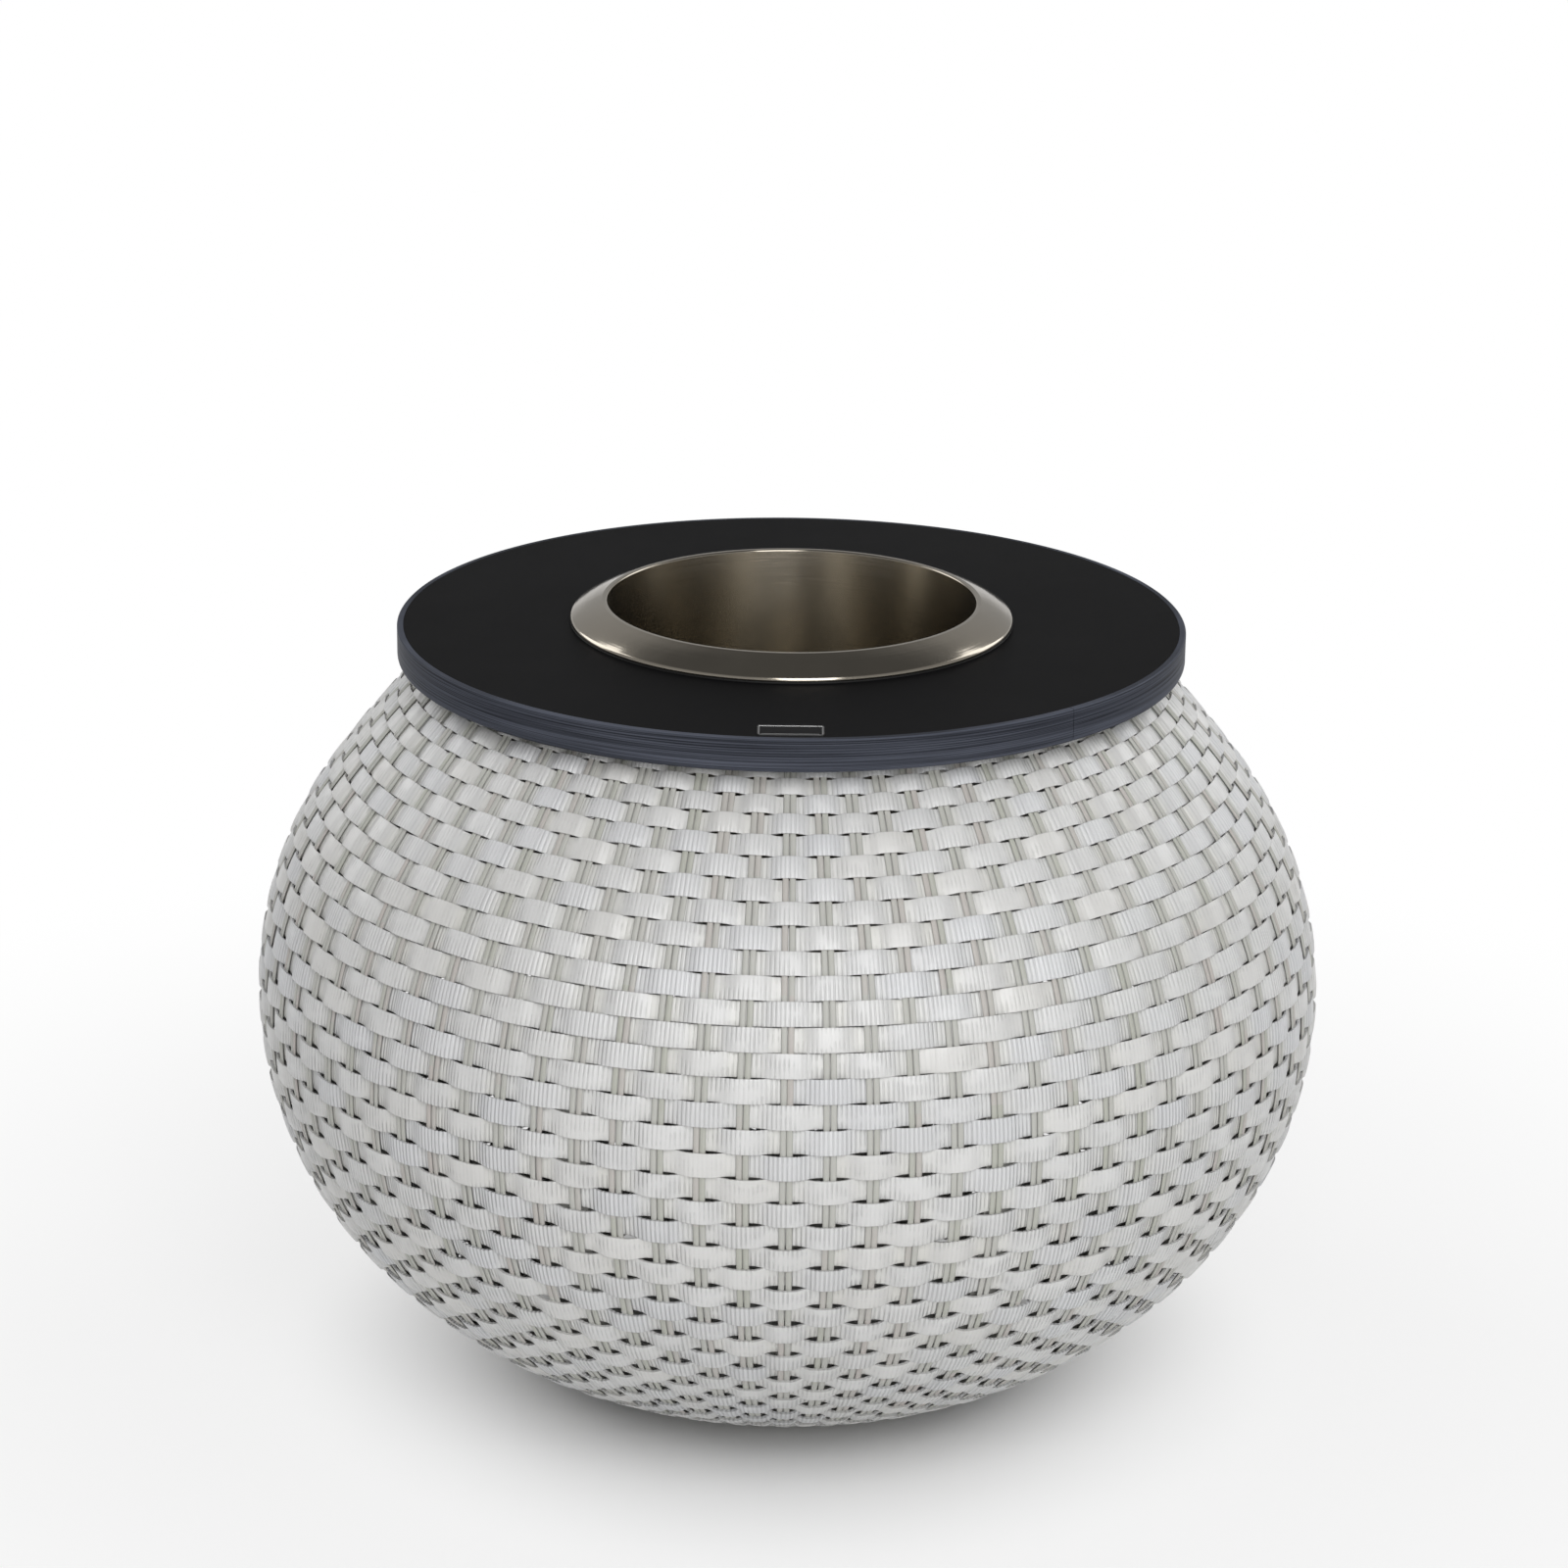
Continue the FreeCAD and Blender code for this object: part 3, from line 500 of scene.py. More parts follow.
def edging_finish():
    """Blue-black edging with fine streaks along it and a faint line at half its height."""
    sizes = bpy.context.scene.table_board
    finish = Finish("edging")
    where = finish.place()
    streaks = finish.noise(finish.stretch(where, 9, 9, 2400), scale=1.0, detail=3.0, roughness=0.6)
    broad = finish.noise(finish.stretch(where, 14, 14, 330), scale=1.0)
    height = finish.node("ShaderNodeSeparateXYZ", sockets={0: where}, output="Z")
    half = (sizes.band_low + sizes.band_high) / 2
    corner = sizes.band_high - sizes.band_bevel
    line = finish.span(abs(height - half), 0.0, 0.0005, start=1.0, end=0.0)
    upper = finish.span(height, half - 0.0003, half + 0.0003, end=0.22)
    # A painted highlight lightens the bevel along the upper edge.
    bevel = finish.span(height, corner - 0.0002, corner + 0.0001, end=0.35)
    light = finish.span(streaks, 0.30, 0.70, start=0.35, end=1.45)
    light = light + broad * 0.35 - line * 0.30 - upper + bevel
    return finish.close(finish.shade(finishes().edging, light), Roughness=0.34 + streaks * 0.2,
                        Specular_IOR_Level=0.02,
                        Normal=finish.bump(streaks * 0.7 + broad * 0.5, distance=0.00009))


def plate_face_finish():
    """Bare black face of the name plate."""
    finish = Finish("plate_face")
    grain = finish.noise(finish.stretch(finish.place(), 400, 4000, 400), scale=1.0)
    return finish.close(finish.shade(finishes().plate_face, 0.85 + grain * 0.3),
                        Roughness=0.5 + grain * 0.1, Specular_IOR_Level=0.05,
                        Normal=finish.bump(grain, distance=0.00002))


def plate_rim_finish():
    """Bright rim of the name plate."""
    finish = Finish("plate_rim")
    grain = finish.noise(finish.place(), scale=3000)
    return finish.close(finish.shade(finishes().plate_rim, 0.9 + grain * 0.1), Metallic=1.0,
                        Roughness=0.28 + grain * 0.1)


def steel_finish():
    """Polished stainless steel with faint turning marks and cloudy polish."""
    finish = Finish("polished_steel")
    where = finish.place()
    cloud = finish.noise(where, scale=16, detail=4.0, roughness=0.55)
    rings = finish.noise(finish.stretch(where, 3, 3, 1600), scale=1.0)
    return finish.close(finish.shade(finishes().steel, 0.74 + cloud * 0.42), Metallic=1.0,
                        Roughness=0.07 + cloud * 0.10 + rings * 0.04,
                        Normal=finish.bump(cloud * 2.0 + rings * 0.2, distance=0.0002))


def inside_finish():
    """Brushed stainless steel inside the bucket, with fine lines round it."""
    finish = Finish("brushed_steel")
    where = finish.place()
    lines = finish.noise(finish.stretch(where, 12, 12, 3000), scale=1.0, detail=3.0, roughness=0.6)
    cloud = finish.noise(where, scale=24, detail=3.0)
    return finish.close(finish.shade(finishes().inside, 0.84 + lines * 0.16 + cloud * 0.12),
                        Metallic=1.0, Roughness=0.14 + lines * 0.12,
                        Normal=finish.bump(lines * 0.3 + cloud, distance=0.0001))


def gasket_finish():
    """Matt black silicone."""
    finish = Finish("gasket")
    grain = finish.noise(finish.place(), scale=1800)
    return finish.close(finish.shade(finishes().gasket, 0.8 + grain * 0.4),
                        Roughness=0.62 + grain * 0.15)


def frame_finish():
    """Light grey powder coat with its fine orange peel."""
    finish = Finish("frame")
    peel = finish.noise(finish.place(), scale=700)
    dust = finish.noise(finish.place(), scale=30, detail=3.0)
    return finish.close(finish.shade(finishes().frame, 0.92 + dust * 0.1), Roughness=0.4 + peel * 0.12,
                        Normal=finish.bump(peel, distance=0.00006))


def metal_finish(name, tint, roughness):
    """Turned or stamped metal of a small part."""
    finish = Finish(name)
    lines = finish.noise(finish.stretch(finish.place(), 300, 300, 3000), scale=1.0)
    return finish.close(finish.shade(tint, 0.85 + lines * 0.2), Metallic=1.0,
                        Roughness=roughness + lines * 0.15, Normal=finish.bump(lines, distance=0.00002))


def glide_finish():
    """Dark moulded plastic of the feet."""
    finish = Finish("glide")
    grain = finish.noise(finish.place(), scale=1500, detail=3.0)
    return finish.close(finish.shade(finishes().glide, 0.85 + grain * 0.3),
                        Roughness=0.5 + grain * 0.15, Normal=finish.bump(grain, distance=0.00005))


def floor_finish():
    """Plain pale studio floor that keeps the table's shadow and is seen white further off."""
    finish = Finish("studio_floor")
    where = finish.place()
    soft = finish.noise(where, scale=2.0)
    tint = finish.shade(finishes().floor, 0.985 + soft * 0.02)
    cloth = finish.node("ShaderNodeBsdfDiffuse", sockets={"Color": tint})
    white = finish.node("ShaderNodeEmission", sockets={"Strength": 1.0})
    away = finish.node("ShaderNodeVectorMath", {"operation": "LENGTH"}, {0: where}, output="Value")
    near = finish.span(away, 0.10, 0.26, end=0.72)
    far = finish.span(away, 0.24, 0.80, end=0.28)
    share = finish.seen() * (near + far)
    surface = finish.node("ShaderNodeMixShader", sockets={0: share, 1: cloth, 2: white})
    finish.node("ShaderNodeOutputMaterial", sockets={"Surface": surface})
    return finish.material


def take_piece(name):
    """Name the object that an operator has just added."""
    piece = bpy.context.object
    piece.name = name
    piece.data.name = name
    return piece


def start_clean():
    """Leave edit mode and select nothing."""
    if bpy.context.mode != "OBJECT":
        bpy.ops.object.mode_set(mode="OBJECT")
    bpy.ops.object.select_all(action="DESELECT")


def choose(*pieces):
    """Select these objects alone, the first one active."""
    start_clean()
    for piece in pieces:
        piece.select_set(True)
    bpy.context.view_layer.objects.active = pieces[0]


def points_of(mesh):
    """Read a mesh's points."""
    points = np.empty(len(mesh.vertices) * 3)
    mesh.vertices.foreach_get("co", points)
    return points.reshape(-1, 3)


def move_points(mesh, points):
    """Write a mesh's points."""
    mesh.vertices.foreach_set("co", np.ascontiguousarray(points, dtype=np.float32).ravel())
    mesh.update()


def lay_grid(name, columns, rows):
    """Add a flat grid and give it with its points' shares across and along, from 0 to 1."""
    start_clean()
    bpy.ops.mesh.primitive_grid_add(x_subdivisions=columns, y_subdivisions=rows, size=1,
                                    location=(0, 0, 0))
    piece = take_piece(name)
    shares = points_of(piece.data)[:, :2] + 0.5
    return piece, shares[:, 0], shares[:, 1]


def write_map(mesh, name, values):
    """Give a mesh a UV map from two values for each point."""
    layer = mesh.uv_layers.new(name=name)
    corners = np.empty(len(mesh.loops), dtype=np.int32)
    mesh.loops.foreach_get("vertex_index", corners)
    layer.data.foreach_set("uv", np.ascontiguousarray(values[corners], dtype=np.float32).ravel())


def drop_maps(mesh):
    """Remove a mesh's UV maps."""
    while mesh.uv_layers:
        mesh.uv_layers.remove(mesh.uv_layers[0])


def join_pieces(name, pieces):
    """Join objects into one."""
    choose(*pieces)
    bpy.ops.object.join()
    return take_piece(name)


def close_seams(piece, fill=False, reach=1e-6):
    """Merge the points that meet, and if asked fill open ends and point every face outwards."""
    choose(piece)
    bpy.ops.object.mode_set(mode="EDIT")
    bpy.ops.mesh.select_all(action="SELECT")
    bpy.ops.mesh.remove_doubles(threshold=reach)
    if fill:
        bpy.ops.mesh.fill_holes(sides=0)
        bpy.ops.mesh.select_all(action="SELECT")
        bpy.ops.mesh.normals_make_consistent(inside=False)
    bpy.ops.object.mode_set(mode="OBJECT")


def smooth(piece, degrees):
    """Shade a piece smooth up to an angle."""
    choose(piece)
    bpy.ops.object.shade_smooth_by_angle(angle=math.radians(degrees))


def thicken(piece, thickness):
    """Give a skin its thickness, inwards."""
    choose(piece)
    solid = piece.modifiers.new("thickness", "SOLIDIFY")
    solid.thickness = thickness
    solid.offset = -1
    bpy.ops.object.modifier_apply(modifier=solid.name)


def hand_over(piece, material, body, slot, *nodes):
    """Give a piece its finish and its body, and hide the CAD nodes that it stands for; slot is not
    used.
    """
    piece.data.materials.clear()
    piece.data.materials.append(material)
    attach(piece, body)
    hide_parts(*nodes)


def paint_nodes(names, material):
    """Give CAD nodes a finish."""
    for name in names:
        for slot in frame["nodes"][name].material_slots:
            slot.material = material


def soften(corners, steps):
    """Round a section's corners in steps, each corner given as its radius, height and rounding."""
    points = []
    places = [Vector(corner[:2]) for corner in corners]
    for number, (radius, height, rounding) in enumerate(corners):
        here = places[number]
        if not rounding:
            points.append((radius, height))
            continue
        back = (places[number - 1] - here).normalized()
        ahead = (places[(number + 1) % len(places)] - here).normalized()
        half = back.angle(ahead) / 2
        start = here + back * (rounding / math.tan(half))
        end = here + ahead * (rounding / math.tan(half))
        centre = here + (back + ahead).normalized() * (rounding / math.sin(half))
        for step in range(steps + 1):
            ray = (start - centre).slerp(end - centre, step / steps)
            points.append(tuple(centre + ray.normalized() * rounding))
    return points


def spin_section(name, section, steps, opening=0.0, turn=0.0):
    """Turn a closed section about the vertical axis, all the way round or short of it by an opening."""
    start_clean()
    bpy.ops.mesh.primitive_circle_add(vertices=len(section), radius=0.01, fill_type="NOTHING")
    piece = take_piece(name)
    heading = turn + opening / 2
    radius, height = np.array(section).T
    points = np.stack([radius * math.cos(heading), radius * math.sin(heading), height], axis=1)
    move_points(piece.data, points)
    bpy.ops.object.mode_set(mode="EDIT")
    bpy.ops.mesh.select_all(action="SELECT")
    bpy.ops.mesh.spin(steps=steps, angle=FULL_TURN - opening, center=(0, 0, 0), axis=(0, 0, 1))
    bpy.ops.object.mode_set(mode="OBJECT")
    close_seams(piece, fill=True, reach=2e-6)
    return piece


def outline_arcs(sizes):
    """List the outline's arcs from the foot up: centre, radius and the turns at both ends."""
    lower = (sizes.belly_radius - sizes.lower_arc, sizes.belly_height)
    upper = (sizes.belly_radius - sizes.upper_arc, sizes.belly_height)
    fall = sizes.lower_arc - sizes.base_arc
    rise = sizes.upper_arc - sizes.crown_arc
    base = (lower[0] + fall * math.cos(sizes.lower_turn), lower[1] - fall * math.sin(sizes.lower_turn))
    crown = (upper[0] + rise * math.cos(sizes.upper_turn), upper[1] + rise * math.sin(sizes.upper_turn))
    first = math.asin((sizes.foot_height - base[1]) / sizes.base_arc)
    last = math.asin((sizes.mouth_height - crown[1]) / sizes.crown_arc)
    return [
        (*base, sizes.base_arc, first, -sizes.lower_turn),
        (*lower, sizes.lower_arc, -sizes.lower_turn, 0.0),
        (*upper, sizes.upper_arc, 0.0, sizes.upper_turn),
        (*crown, sizes.crown_arc, sizes.upper_turn, last),
    ]


def outline_length(arcs):
    """Measure the outline from the foot to the mouth."""
    return sum(reach * (end - start) for _, _, reach, start, end in arcs)


def along_outline(arcs, lengths):
    """Give the radius, height and slope of the outline at each length from the foot."""
    lengths = np.clip(lengths, 0, outline_length(arcs))
    radius = np.zeros_like(lengths)
    height = np.zeros_like(lengths)
    slope = np.zeros_like(lengths)
    passed = 0.0
    for centre, level, reach, start, end in arcs:
        chosen = lengths >= passed - 1e-9
        turn = start + (lengths[chosen] - passed) / reach
        radius[chosen] = centre + reach * np.cos(turn)
        height[chosen] = level + reach * np.sin(turn)
        slope[chosen] = turn
        passed += reach * (end - start)
    return radius, height, slope


def off_outline(arcs, lengths, rise, heading, aside=0.0):
    """Give points at a rise off the outline, at a heading round the table and a step aside."""
    radius, height, slope = along_outline(arcs, lengths)
    reach = radius + rise * np.cos(slope)
    return np.stack([
        reach * np.cos(heading) - aside * np.sin(heading),
        reach * np.sin(heading) + aside * np.cos(heading),
        height + rise * np.sin(slope),
    ], axis=1)


def row_edge(sizes, arcs, number):
    """Measure the outline from the foot to the lower edge of a row, counted from the foot."""
    whole = outline_length(arcs)
    above = sizes.row_count - number
    crowding = sizes.crowding * (1 - math.exp(-above / sizes.crowded_rows))
    return whole - (whole + sizes.crowding) / sizes.row_count * above + crowding


def wander(random, count, size):
    """Give one small random step for each stake, as a closed round."""
    steps = random.uniform(-size, size, count)
    return np.append(steps, steps[0])


def weave_row(sizes, arcs, number, random):
    """Wind one strip round the base, in front of one stake and behind the next."""
    lower, upper = row_edge(sizes, arcs, number), row_edge(sizes, arcs, number + 1)
    count = sizes.stake_count
    bands = len(STRIP_PROFILE) - 1
    strip, around, across = lay_grid(f"row_{number}", count * STEPS_PER_STAKE, bands)
    width = STRIP_PROFILE[np.round(across * bands).astype(int)]
    middle = (lower + upper) / 2
    radius, height, _ = along_outline(arcs, np.array([middle]))
    stake = around * count
    away = np.abs((stake + number + 1) % 2 - 1)
    fall = np.clip((away - sizes.dive_start) / (sizes.dive_end - sizes.dive_start), 0, 1)
    dive = fall ** 2 * (3 - 2 * fall)
    share = (height[0] - sizes.foot_height) / (sizes.mouth_height - sizes.foot_height)
    bow = np.interp(share, BOW_LEVELS, [*(-sizes.bow_low * BOW_SAGS), sizes.bow_high])
    crest = np.cos(math.pi * away)
    places = np.arange(count + 1)
    lift = np.interp(stake, places, wander(random, count, sizes.lift_scatter))
    depth = np.interp(stake, places, wander(random, count, sizes.depth_scatter))
    tilt = np.interp(stake, places, wander(random, count, sizes.tilt_scatter))
    clear = upper - lower - sizes.strip_gap + abs(bow) * BOW_WIDENING * crest ** 2
    lengths = middle + (width - 0.5) * clear + bow * crest + lift
    side = 2 * width - 1
    camber = sizes.strip_camber * np.abs(side) ** CAMBER_POWER
    rise = -sizes.weave_depth * dive - camber + tilt * side - np.abs(depth)
    points = off_outline(arcs, lengths, rise, around * FULL_TURN)
    drop_maps(strip.data)
    level = number + ROW_INSET + (1 - 2 * ROW_INSET) * width
    run = around * FULL_TURN * radius[0] * MILLIMETRES
    write_map(strip.data, "weave", np.stack([stake, level], axis=1))
    write_map(strip.data, "run", np.stack([run, width], axis=1))
    move_points(strip.data, points)
    return strip


def strand_points(sizes, arcs, edges, number, around, along, aside):
    """Give the surface of a stake's strand, which passes behind one row and in front of the next."""
    turn = -around * FULL_TURN
    lengths = along * outline_length(arcs)
    row = np.interp(lengths, edges, np.arange(len(edges)))
    sway = sizes.stake_thickness + sizes.strip_thickness - sizes.weave_depth
    deepest = -sizes.strip_thickness - sizes.stake_thickness / 2
    rise = deepest + sway / 2 * (1 - np.cos(math.pi * (row - 0.5 + number)))
    rise += (sizes.stake_thickness / 2 - STRAND_CLEARANCE) * np.sin(turn)
    width = (sizes.stake_width / 2 - sizes.strand_gap) / 2
    return off_outline(arcs, lengths, rise, np.zeros_like(turn), aside + width * np.cos(turn))


class TABLE_OT_weave_rows(bpy.types.Operator):
    """Weave the strips of the base, row by row"""
    bl_idname = "table.weave_rows"
    bl_label = "Weave the rows"

    def execute(self, context):
        sizes = context.scene.table_weave
        arcs = outline_arcs(sizes)
        random = np.random.default_rng(WEAVE_SEED)
        material = strip_finish()
        share = math.ceil(sizes.row_count / ROW_GROUPS)
        for group in range(ROW_GROUPS):
            numbers = range(group * share, min((group + 1) * share, sizes.row_count))
            rows = [weave_row(sizes, arcs, number, random) for number in numbers]
            piece = join_pieces(f"woven_rows_{group + 1}", rows)
            close_seams(piece)
            thicken(piece, sizes.strip_thickness)
            smooth(piece, degrees=40)
            hand_over(piece, material, "table", "strip", "woven_shell")
        return {"FINISHED"}


class TABLE_OT_set_stakes(bpy.types.Operator):
    """Set the upright stakes, each of two strands side by side"""
    bl_idname = "table.set_stakes"
    bl_label = "Set the stakes"

    def execute(self, context):
        sizes = context.scene.table_weave
        arcs = outline_arcs(sizes)
        edges = [row_edge(sizes, arcs, number) for number in range(sizes.row_count + 1)]
        random = np.random.default_rng(STAKE_SEED)
        steps = sizes.row_count * STRAND_STEPS_PER_ROW
        material = stake_finish()
        for first, group in enumerate(("stakes_even", "stakes_odd")):
            stakes = []
            for number in range(first, sizes.stake_count, 2):
                heading = FULL_TURN * number / sizes.stake_count + random.uniform(-1, 1) * STAKE_SCATTER
                turn = np.array(Matrix.Rotation(heading, 3, "Z"))
                for side in (-1, 1):
                    name = f"strand_{number}_{side}"
                    strand, around, along = lay_grid(name, STRAND_STEPS, steps)
                    wobble = WOBBLE * np.sin(along * WOBBLE_RATE + random.uniform(0, WOBBLE_PHASE))
                    aside = side * sizes.stake_width / 4 + wobble
                    points = strand_points(sizes, arcs, edges, number, around, along, aside)
                    drop_maps(strand.data)
                    share = number * 2 + (side + 1) / 2 + STRAND_INSET + around * STRAND_SHARE
                    write_map(strand.data, "strand", np.stack([share, along * STRAND_RUN], axis=1))
                    move_points(strand.data, points @ turn.T)
                    stakes.append(strand)
            piece = join_pieces(group, stakes)
            close_seams(piece, fill=True)
            smooth(piece, degrees=50)
            hand_over(piece, material, "table", "stake", "warp_stakes")
        return {"FINISHED"}


class TABLE_OT_wrap_base(bpy.types.Operator):
    """Wind the strip round the edge of the base ring"""
    bl_idname = "table.wrap_base"
    bl_label = "Wrap the base ring"

    def execute(self, context):
        sizes = context.scene.table_weave
        low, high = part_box("base_binding")
        middle = high[0] - sizes.wrap_width / 2
        steps_per_turn, steps_about = 6, 12
        columns = sizes.wrap_turns * steps_per_turn
        piece, around, about = lay_grid("base_binding_wrap", columns, steps_about)
        groove = 0.10
        phase = (around * sizes.wrap_turns + about) * math.pi
        swell = 1 - groove * (1 - np.abs(np.sin(phase)))
        # The wrap's section is between a circle and a square, and fills this share of its box.
        squareness, share = 0.45, 0.86
        turn = about * FULL_TURN
        square = np.maximum(np.abs(np.cos(turn)), np.abs(np.sin(turn))) ** -squareness
        size = share * square * swell
        reach = middle + sizes.wrap_width / 2 * size * np.cos(turn)
        level = (low[2] + high[2]) / 2 + (high[2] - low[2]) / 2 * size * np.sin(turn)
        heading = around * FULL_TURN
        points = np.stack([reach * np.cos(heading), reach * np.sin(heading), level], axis=1)
        move_points(piece.data, points)
        close_seams(piece, fill=True)
        smooth(piece, degrees=60)
        hand_over(piece, binding_finish(), "table", "strip", "base_binding")
        return {"FINISHED"}


class TABLE_OT_finish_board(bpy.types.Operator):
    """Give the board its satin black laminate"""
    bl_idname = "table.finish_board"
    bl_label = "Finish the board"

    def execute(self, context):
        paint_nodes(["table_top"], board_finish())
        return {"FINISHED"}


class TABLE_OT_bend_edging(bpy.types.Operator):
    """Bend the edging strip round the board, its ends butted"""
    bl_idname = "table.bend_edging"
    bl_label = "Bend the edging"

    def execute(self, context):
        sizes = context.scene.table_board
        outer = sizes.band_radius
        inner = outer - sizes.band_thickness
        section = soften([
            (inner, sizes.band_low, 0.0),
            (outer, sizes.band_low, sizes.band_round),
            (outer, sizes.band_high - sizes.band_bevel, sizes.band_crease),
            (outer - sizes.band_bevel, sizes.band_high, sizes.band_crease),
            (inner, sizes.band_high, 0.0),
        ], steps=5)
        opening = sizes.seam_width / outer
        piece = spin_section("edging", section, EDGING_STEPS, opening, sizes.seam_angle)
        smooth(piece, degrees=30)
        hand_over(piece, edging_finish(), "table", "edging", "edge_band")
        return {"FINISHED"}


class TABLE_OT_set_name_plate(bpy.types.Operator):
    """Set the bare name plate into the board"""
    bl_idname = "table.set_name_plate"
    bl_label = "Set the name plate"

    def execute(self, context):
        sizes = context.scene.table_board
        low, high = (Vector(corner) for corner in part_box("name_plate"))
        start_clean()
        bpy.ops.mesh.primitive_cube_add(size=1, location=(low + high) / 2, scale=high - low)
        piece = take_piece("plate")
        bpy.ops.object.transform_apply(location=True, rotation=True, scale=True)
        bpy.ops.object.mode_set(mode="EDIT")
        bpy.ops.mesh.select_all(action="DESELECT")
        bpy.ops.object.mode_set(mode="OBJECT")
        for edge in piece.data.edges:
            ends = [piece.data.vertices[point].co.z for point in edge.vertices]
            edge.select = abs(ends[0] - ends[1]) > (high[2] - low[2]) / 2
        bpy.ops.object.mode_set(mode="EDIT")
        bpy.ops.mesh.select_mode(type="EDGE")
        bpy.ops.mesh.bevel(offset=sizes.plate_corner, segments=5)
        bpy.ops.mesh.select_all(action="DESELECT")
        bpy.ops.mesh.select_mode(type="FACE")
        bpy.ops.object.mode_set(mode="OBJECT")
        for face in piece.data.polygons:
            face.select = face.normal.z > FACES_UP
        bpy.ops.object.mode_set(mode="EDIT")
        bpy.ops.mesh.inset(thickness=sizes.plate_rim, depth=0.0)
        bpy.ops.mesh.inset(thickness=sizes.plate_step, depth=-sizes.plate_depth)
        bpy.ops.object.mode_set(mode="OBJECT")
        inner = [face.index for face in piece.data.polygons if face.select]
        hand_over(piece, plate_rim_finish(), "table", "plate", "name_plate")
        piece.data.materials.append(plate_face_finish())
        for number in inner:
            piece.data.polygons[number].material_index = 1
        return {"FINISHED"}


class TABLE_OT_spin_bucket(bpy.types.Operator):
    """Spin the steel bucket with its sloping flange and rolled lip"""
    bl_idname = "table.spin_bucket"
    bl_label = "Spin the bucket"

    def execute(self, context):
        sizes = context.scene.table_bucket
        foot, lip = sizes.base_height, sizes.lip_height
        sheet = sizes.sheet
        seat = lip - sizes.flange_drop
        edge = seat + sizes.flange_edge
        mouth, rim = sizes.mouth_radius, sizes.flange_radius
        hem = rim - 2 * sheet
        wall_fold, hem_fold = 0.0006, 0.0004
        shoulder = mouth + sizes.lip_width
        swell = Vector((lip - edge, rim - shoulder)).normalized() * sizes.flange_swell
        section = soften([
            (0.0, foot, 0.0),
            (sizes.floor_radius + sheet, foot, sizes.floor_round + sheet),
            (mouth + sheet, lip - 2 * sheet, wall_fold),
            (hem, edge - sheet, hem_fold),
            (hem, seat, sizes.hem_round),
            (rim, seat, sizes.hem_round),
            (rim, edge, sizes.edge_round),
            ((rim + shoulder) / 2 + swell[0], (edge + lip) / 2 + swell[1], sizes.flange_round),
            (shoulder, lip, sizes.lip_round),
            (mouth, lip, sizes.mouth_round),
            (sizes.floor_radius, foot + sheet, sizes.floor_round),
            (0.0, foot + sheet, 0.0),
        ], steps=7)
        piece = spin_section("bucket", section, BUCKET_STEPS)
        smooth(piece, degrees=28)
        hand_over(piece, steel_finish(), "bucket", "polished_steel", "ice_bucket")
        piece.data.materials.append(inside_finish())
        for face in piece.data.polygons:
            outward = face.normal.dot(face.center * Vector((1, 1, 0)))
            within = outward < 0 or face.normal.z > LIES_FLAT
            face.material_index = within and face.center.z < lip - sheet
        return {"FINISHED"}


class TABLE_OT_fit_gasket(bpy.types.Operator):
    """Fit the soft ring under the flange"""
    bl_idname = "table.fit_gasket"
    bl_label = "Fit the gasket"

    def execute(self, context):
        sizes = context.scene.table_bucket
        low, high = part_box("bucket_gasket")
        outer = sizes.flange_radius - sizes.gasket_setback
        inner = outer - sizes.gasket_width
        inner_round, outer_round = 0.0002, 0.0003
        section = soften([
            (inner, low[2], inner_round),
            (outer, low[2], outer_round),
            (outer, high[2], outer_round),
            (inner, high[2], inner_round),
        ], steps=4)
        piece = spin_section("gasket", section, BUCKET_STEPS)
        smooth(piece, degrees=40)
        hand_over(piece, gasket_finish(), "bucket", "gasket", "bucket_gasket")
        return {"FINISHED"}


class TABLE_OT_finish_frame(bpy.types.Operator):
    """Coat the rings, ribs and hoops of the frame"""
    bl_idname = "table.finish_frame"
    bl_label = "Finish the frame"

    def execute(self, context):
        paint_nodes(["top_ring", "base_ring", *HOOPS, *RIBS], frame_finish())
        return {"FINISHED"}


class TABLE_OT_finish_fixings(bpy.types.Operator):
    """Finish the screws, washers and inserts"""
    bl_idname = "table.finish_fixings"
    bl_label = "Finish the fixings"

    def execute(self, context):
        looks = finishes()
        paint_nodes(["top_washers", "top_screws", "foot_screws"],
                    metal_finish("fixing_steel", looks.fixing, roughness=0.3))
        paint_nodes(["top_inserts"], metal_finish("insert_brass", looks.brass, roughness=0.28))
        return {"FINISHED"}


class TABLE_OT_finish_feet(bpy.types.Operator):
    """Finish the plastic feet"""
    bl_idname = "table.finish_feet"
    bl_label = "Finish the feet"

    def execute(self, context):
        paint_nodes(FEET, glide_finish())
        return {"FINISHED"}


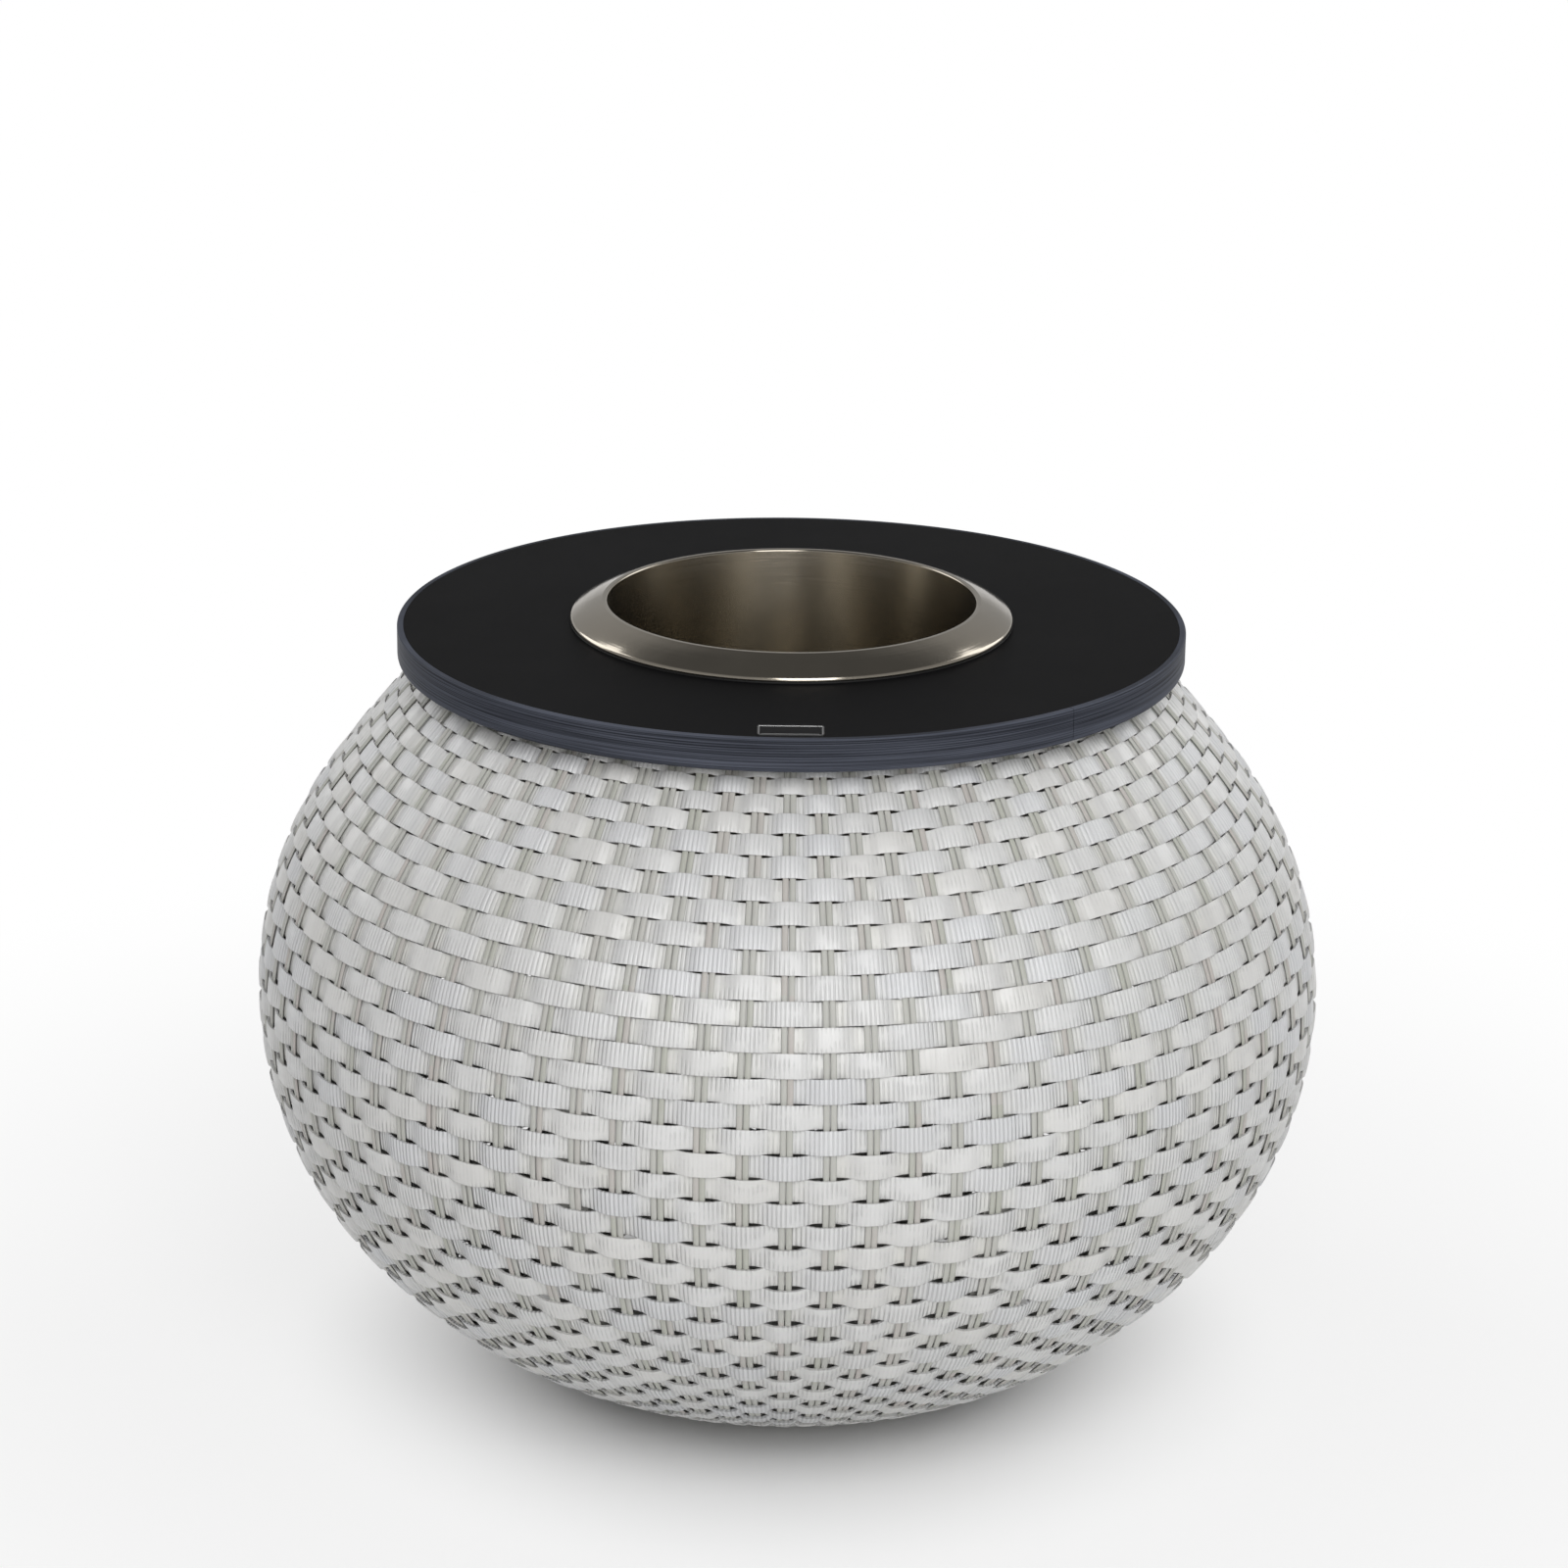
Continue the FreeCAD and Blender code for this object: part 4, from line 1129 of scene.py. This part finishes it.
class TABLE_OT_set_stage(bpy.types.Operator):
    """Lay the floor, hang the lights and set up the camera"""
    bl_idname = "table.set_stage"
    bl_label = "Set the stage"

    def execute(self, context):
        settings = context.scene.table_stage
        self.lay_floor(settings.floor_reach)
        key = (settings.key_width, settings.key_height, settings.key_power)
        back = (settings.back_width, settings.back_height, settings.back_power)
        right = settings.back_place
        left = right * Vector((-1, 1, 1))
        self.hang_light("key_light", settings.key_place, settings.aim_height, *key)
        self.hang_light("left_light", left, settings.aim_height, *back)
        self.hang_light("right_light", right, settings.aim_height, *back)
        self.light_sky(context, settings.sky)
        self.place_camera(context, settings)
        return {"FINISHED"}

    def lay_floor(self, radius):
        """Lay a wide pale floor."""
        start_clean()
        bpy.ops.mesh.primitive_circle_add(vertices=64, radius=radius, fill_type="NGON",
                                          location=(0, 0, 0))
        floor = take_piece("studio_floor")
        floor.data.materials.append(floor_finish())

    def hang_light(self, name, spot, aim_height, width, height, watts):
        """Hang a soft light that faces the table."""
        start_clean()
        bpy.ops.object.light_add(type="AREA", location=spot)
        lamp = take_piece(name)
        lamp.data.shape = "RECTANGLE"
        lamp.data.size = width
        lamp.data.size_y = height
        lamp.data.energy = watts
        aim = Vector((0, 0, aim_height)) - Vector(spot)
        lamp.rotation_euler = aim.to_track_quat("-Z", "Y").to_euler()

    def light_sky(self, context, strength):
        """Light the table from all round, in front of white that a mirror shows greyer higher up."""
        sky = Finish("studio", "worlds")
        way = sky.node("ShaderNodeTexCoord", output="Generated")
        height = sky.node("ShaderNodeSeparateXYZ", sockets={0: way}, output="Z")
        wall = sky.span(height, 0.0, 0.20, start=0.80, end=0.44)
        wall = wall * sky.span(height, 0.55, 0.85, start=1.0, end=0.30)
        wall = wall + (1 - wall) * sky.seen(["Camera"])
        seen = sky.seen()
        # Surfaces that scatter light get more of it from above than from below.
        level = wall * seen + (0.7 + height * 0.6) * strength * (1 - seen)
        light = sky.node("ShaderNodeBackground", sockets={"Color": (1, 1, 1, 1), "Strength": level})
        sky.node("ShaderNodeOutputWorld", sockets={"Surface": light})
        context.scene.world = sky.material
        context.scene.view_settings.view_transform = "Standard"

    def place_camera(self, context, settings):
        """Place the camera at the photograph's angle."""
        start_clean()
        bpy.ops.object.camera_add()
        camera = take_piece("camera")
        camera.data.lens = settings.lens
        camera.data.sensor_width = 36
        camera.data.sensor_fit = "HORIZONTAL"
        tilt = Matrix.Rotation(math.radians(90) - settings.camera_dip, 4, "X")
        lean = Matrix.Rotation(settings.camera_roll, 4, "Z")
        camera.matrix_world = Matrix.Translation(settings.camera_place) @ tilt @ lean
        context.scene.camera = camera


class TABLE_PT_tools(bpy.types.Panel):
    """The table's pieces, in the order in which they are made"""
    bl_idname = "TABLE_PT_tools"
    bl_label = "Ice Bucket Coffee Table"
    bl_space_type = "VIEW_3D"
    bl_region_type = "UI"
    bl_category = "Table"

    def draw(self, context):
        for maker in MAKERS:
            self.layout.operator(maker.bl_idname)


GROUPS = {
    "table_weave": WeaveSizes,
    "table_board": BoardSizes,
    "table_bucket": BucketSizes,
    "table_finishes": Finishes,
    "table_stage": StageSettings,
}
MAKERS = [
    TABLE_OT_weave_rows,
    TABLE_OT_set_stakes,
    TABLE_OT_wrap_base,
    TABLE_OT_finish_board,
    TABLE_OT_bend_edging,
    TABLE_OT_set_name_plate,
    TABLE_OT_spin_bucket,
    TABLE_OT_fit_gasket,
    TABLE_OT_finish_frame,
    TABLE_OT_finish_fixings,
    TABLE_OT_finish_feet,
    TABLE_OT_set_stage,
]


def register():
    """Register the classes and hang the settings on the scene."""
    for item in (*GROUPS.values(), *MAKERS, TABLE_PT_tools):
        bpy.utils.register_class(item)
    for name, group in GROUPS.items():
        setattr(bpy.types.Scene, name, PointerProperty(type=group))


def unregister():
    """Take the settings off the scene and unregister the classes."""
    for name in GROUPS:
        delattr(bpy.types.Scene, name)
    for item in reversed((*GROUPS.values(), *MAKERS, TABLE_PT_tools)):
        bpy.utils.unregister_class(item)


def main():
    """Make the table."""
    register()
    for maker in MAKERS:
        group, name = maker.bl_idname.split(".")
        getattr(getattr(bpy.ops, group), name)()


if __name__ == "__main__":
    main()
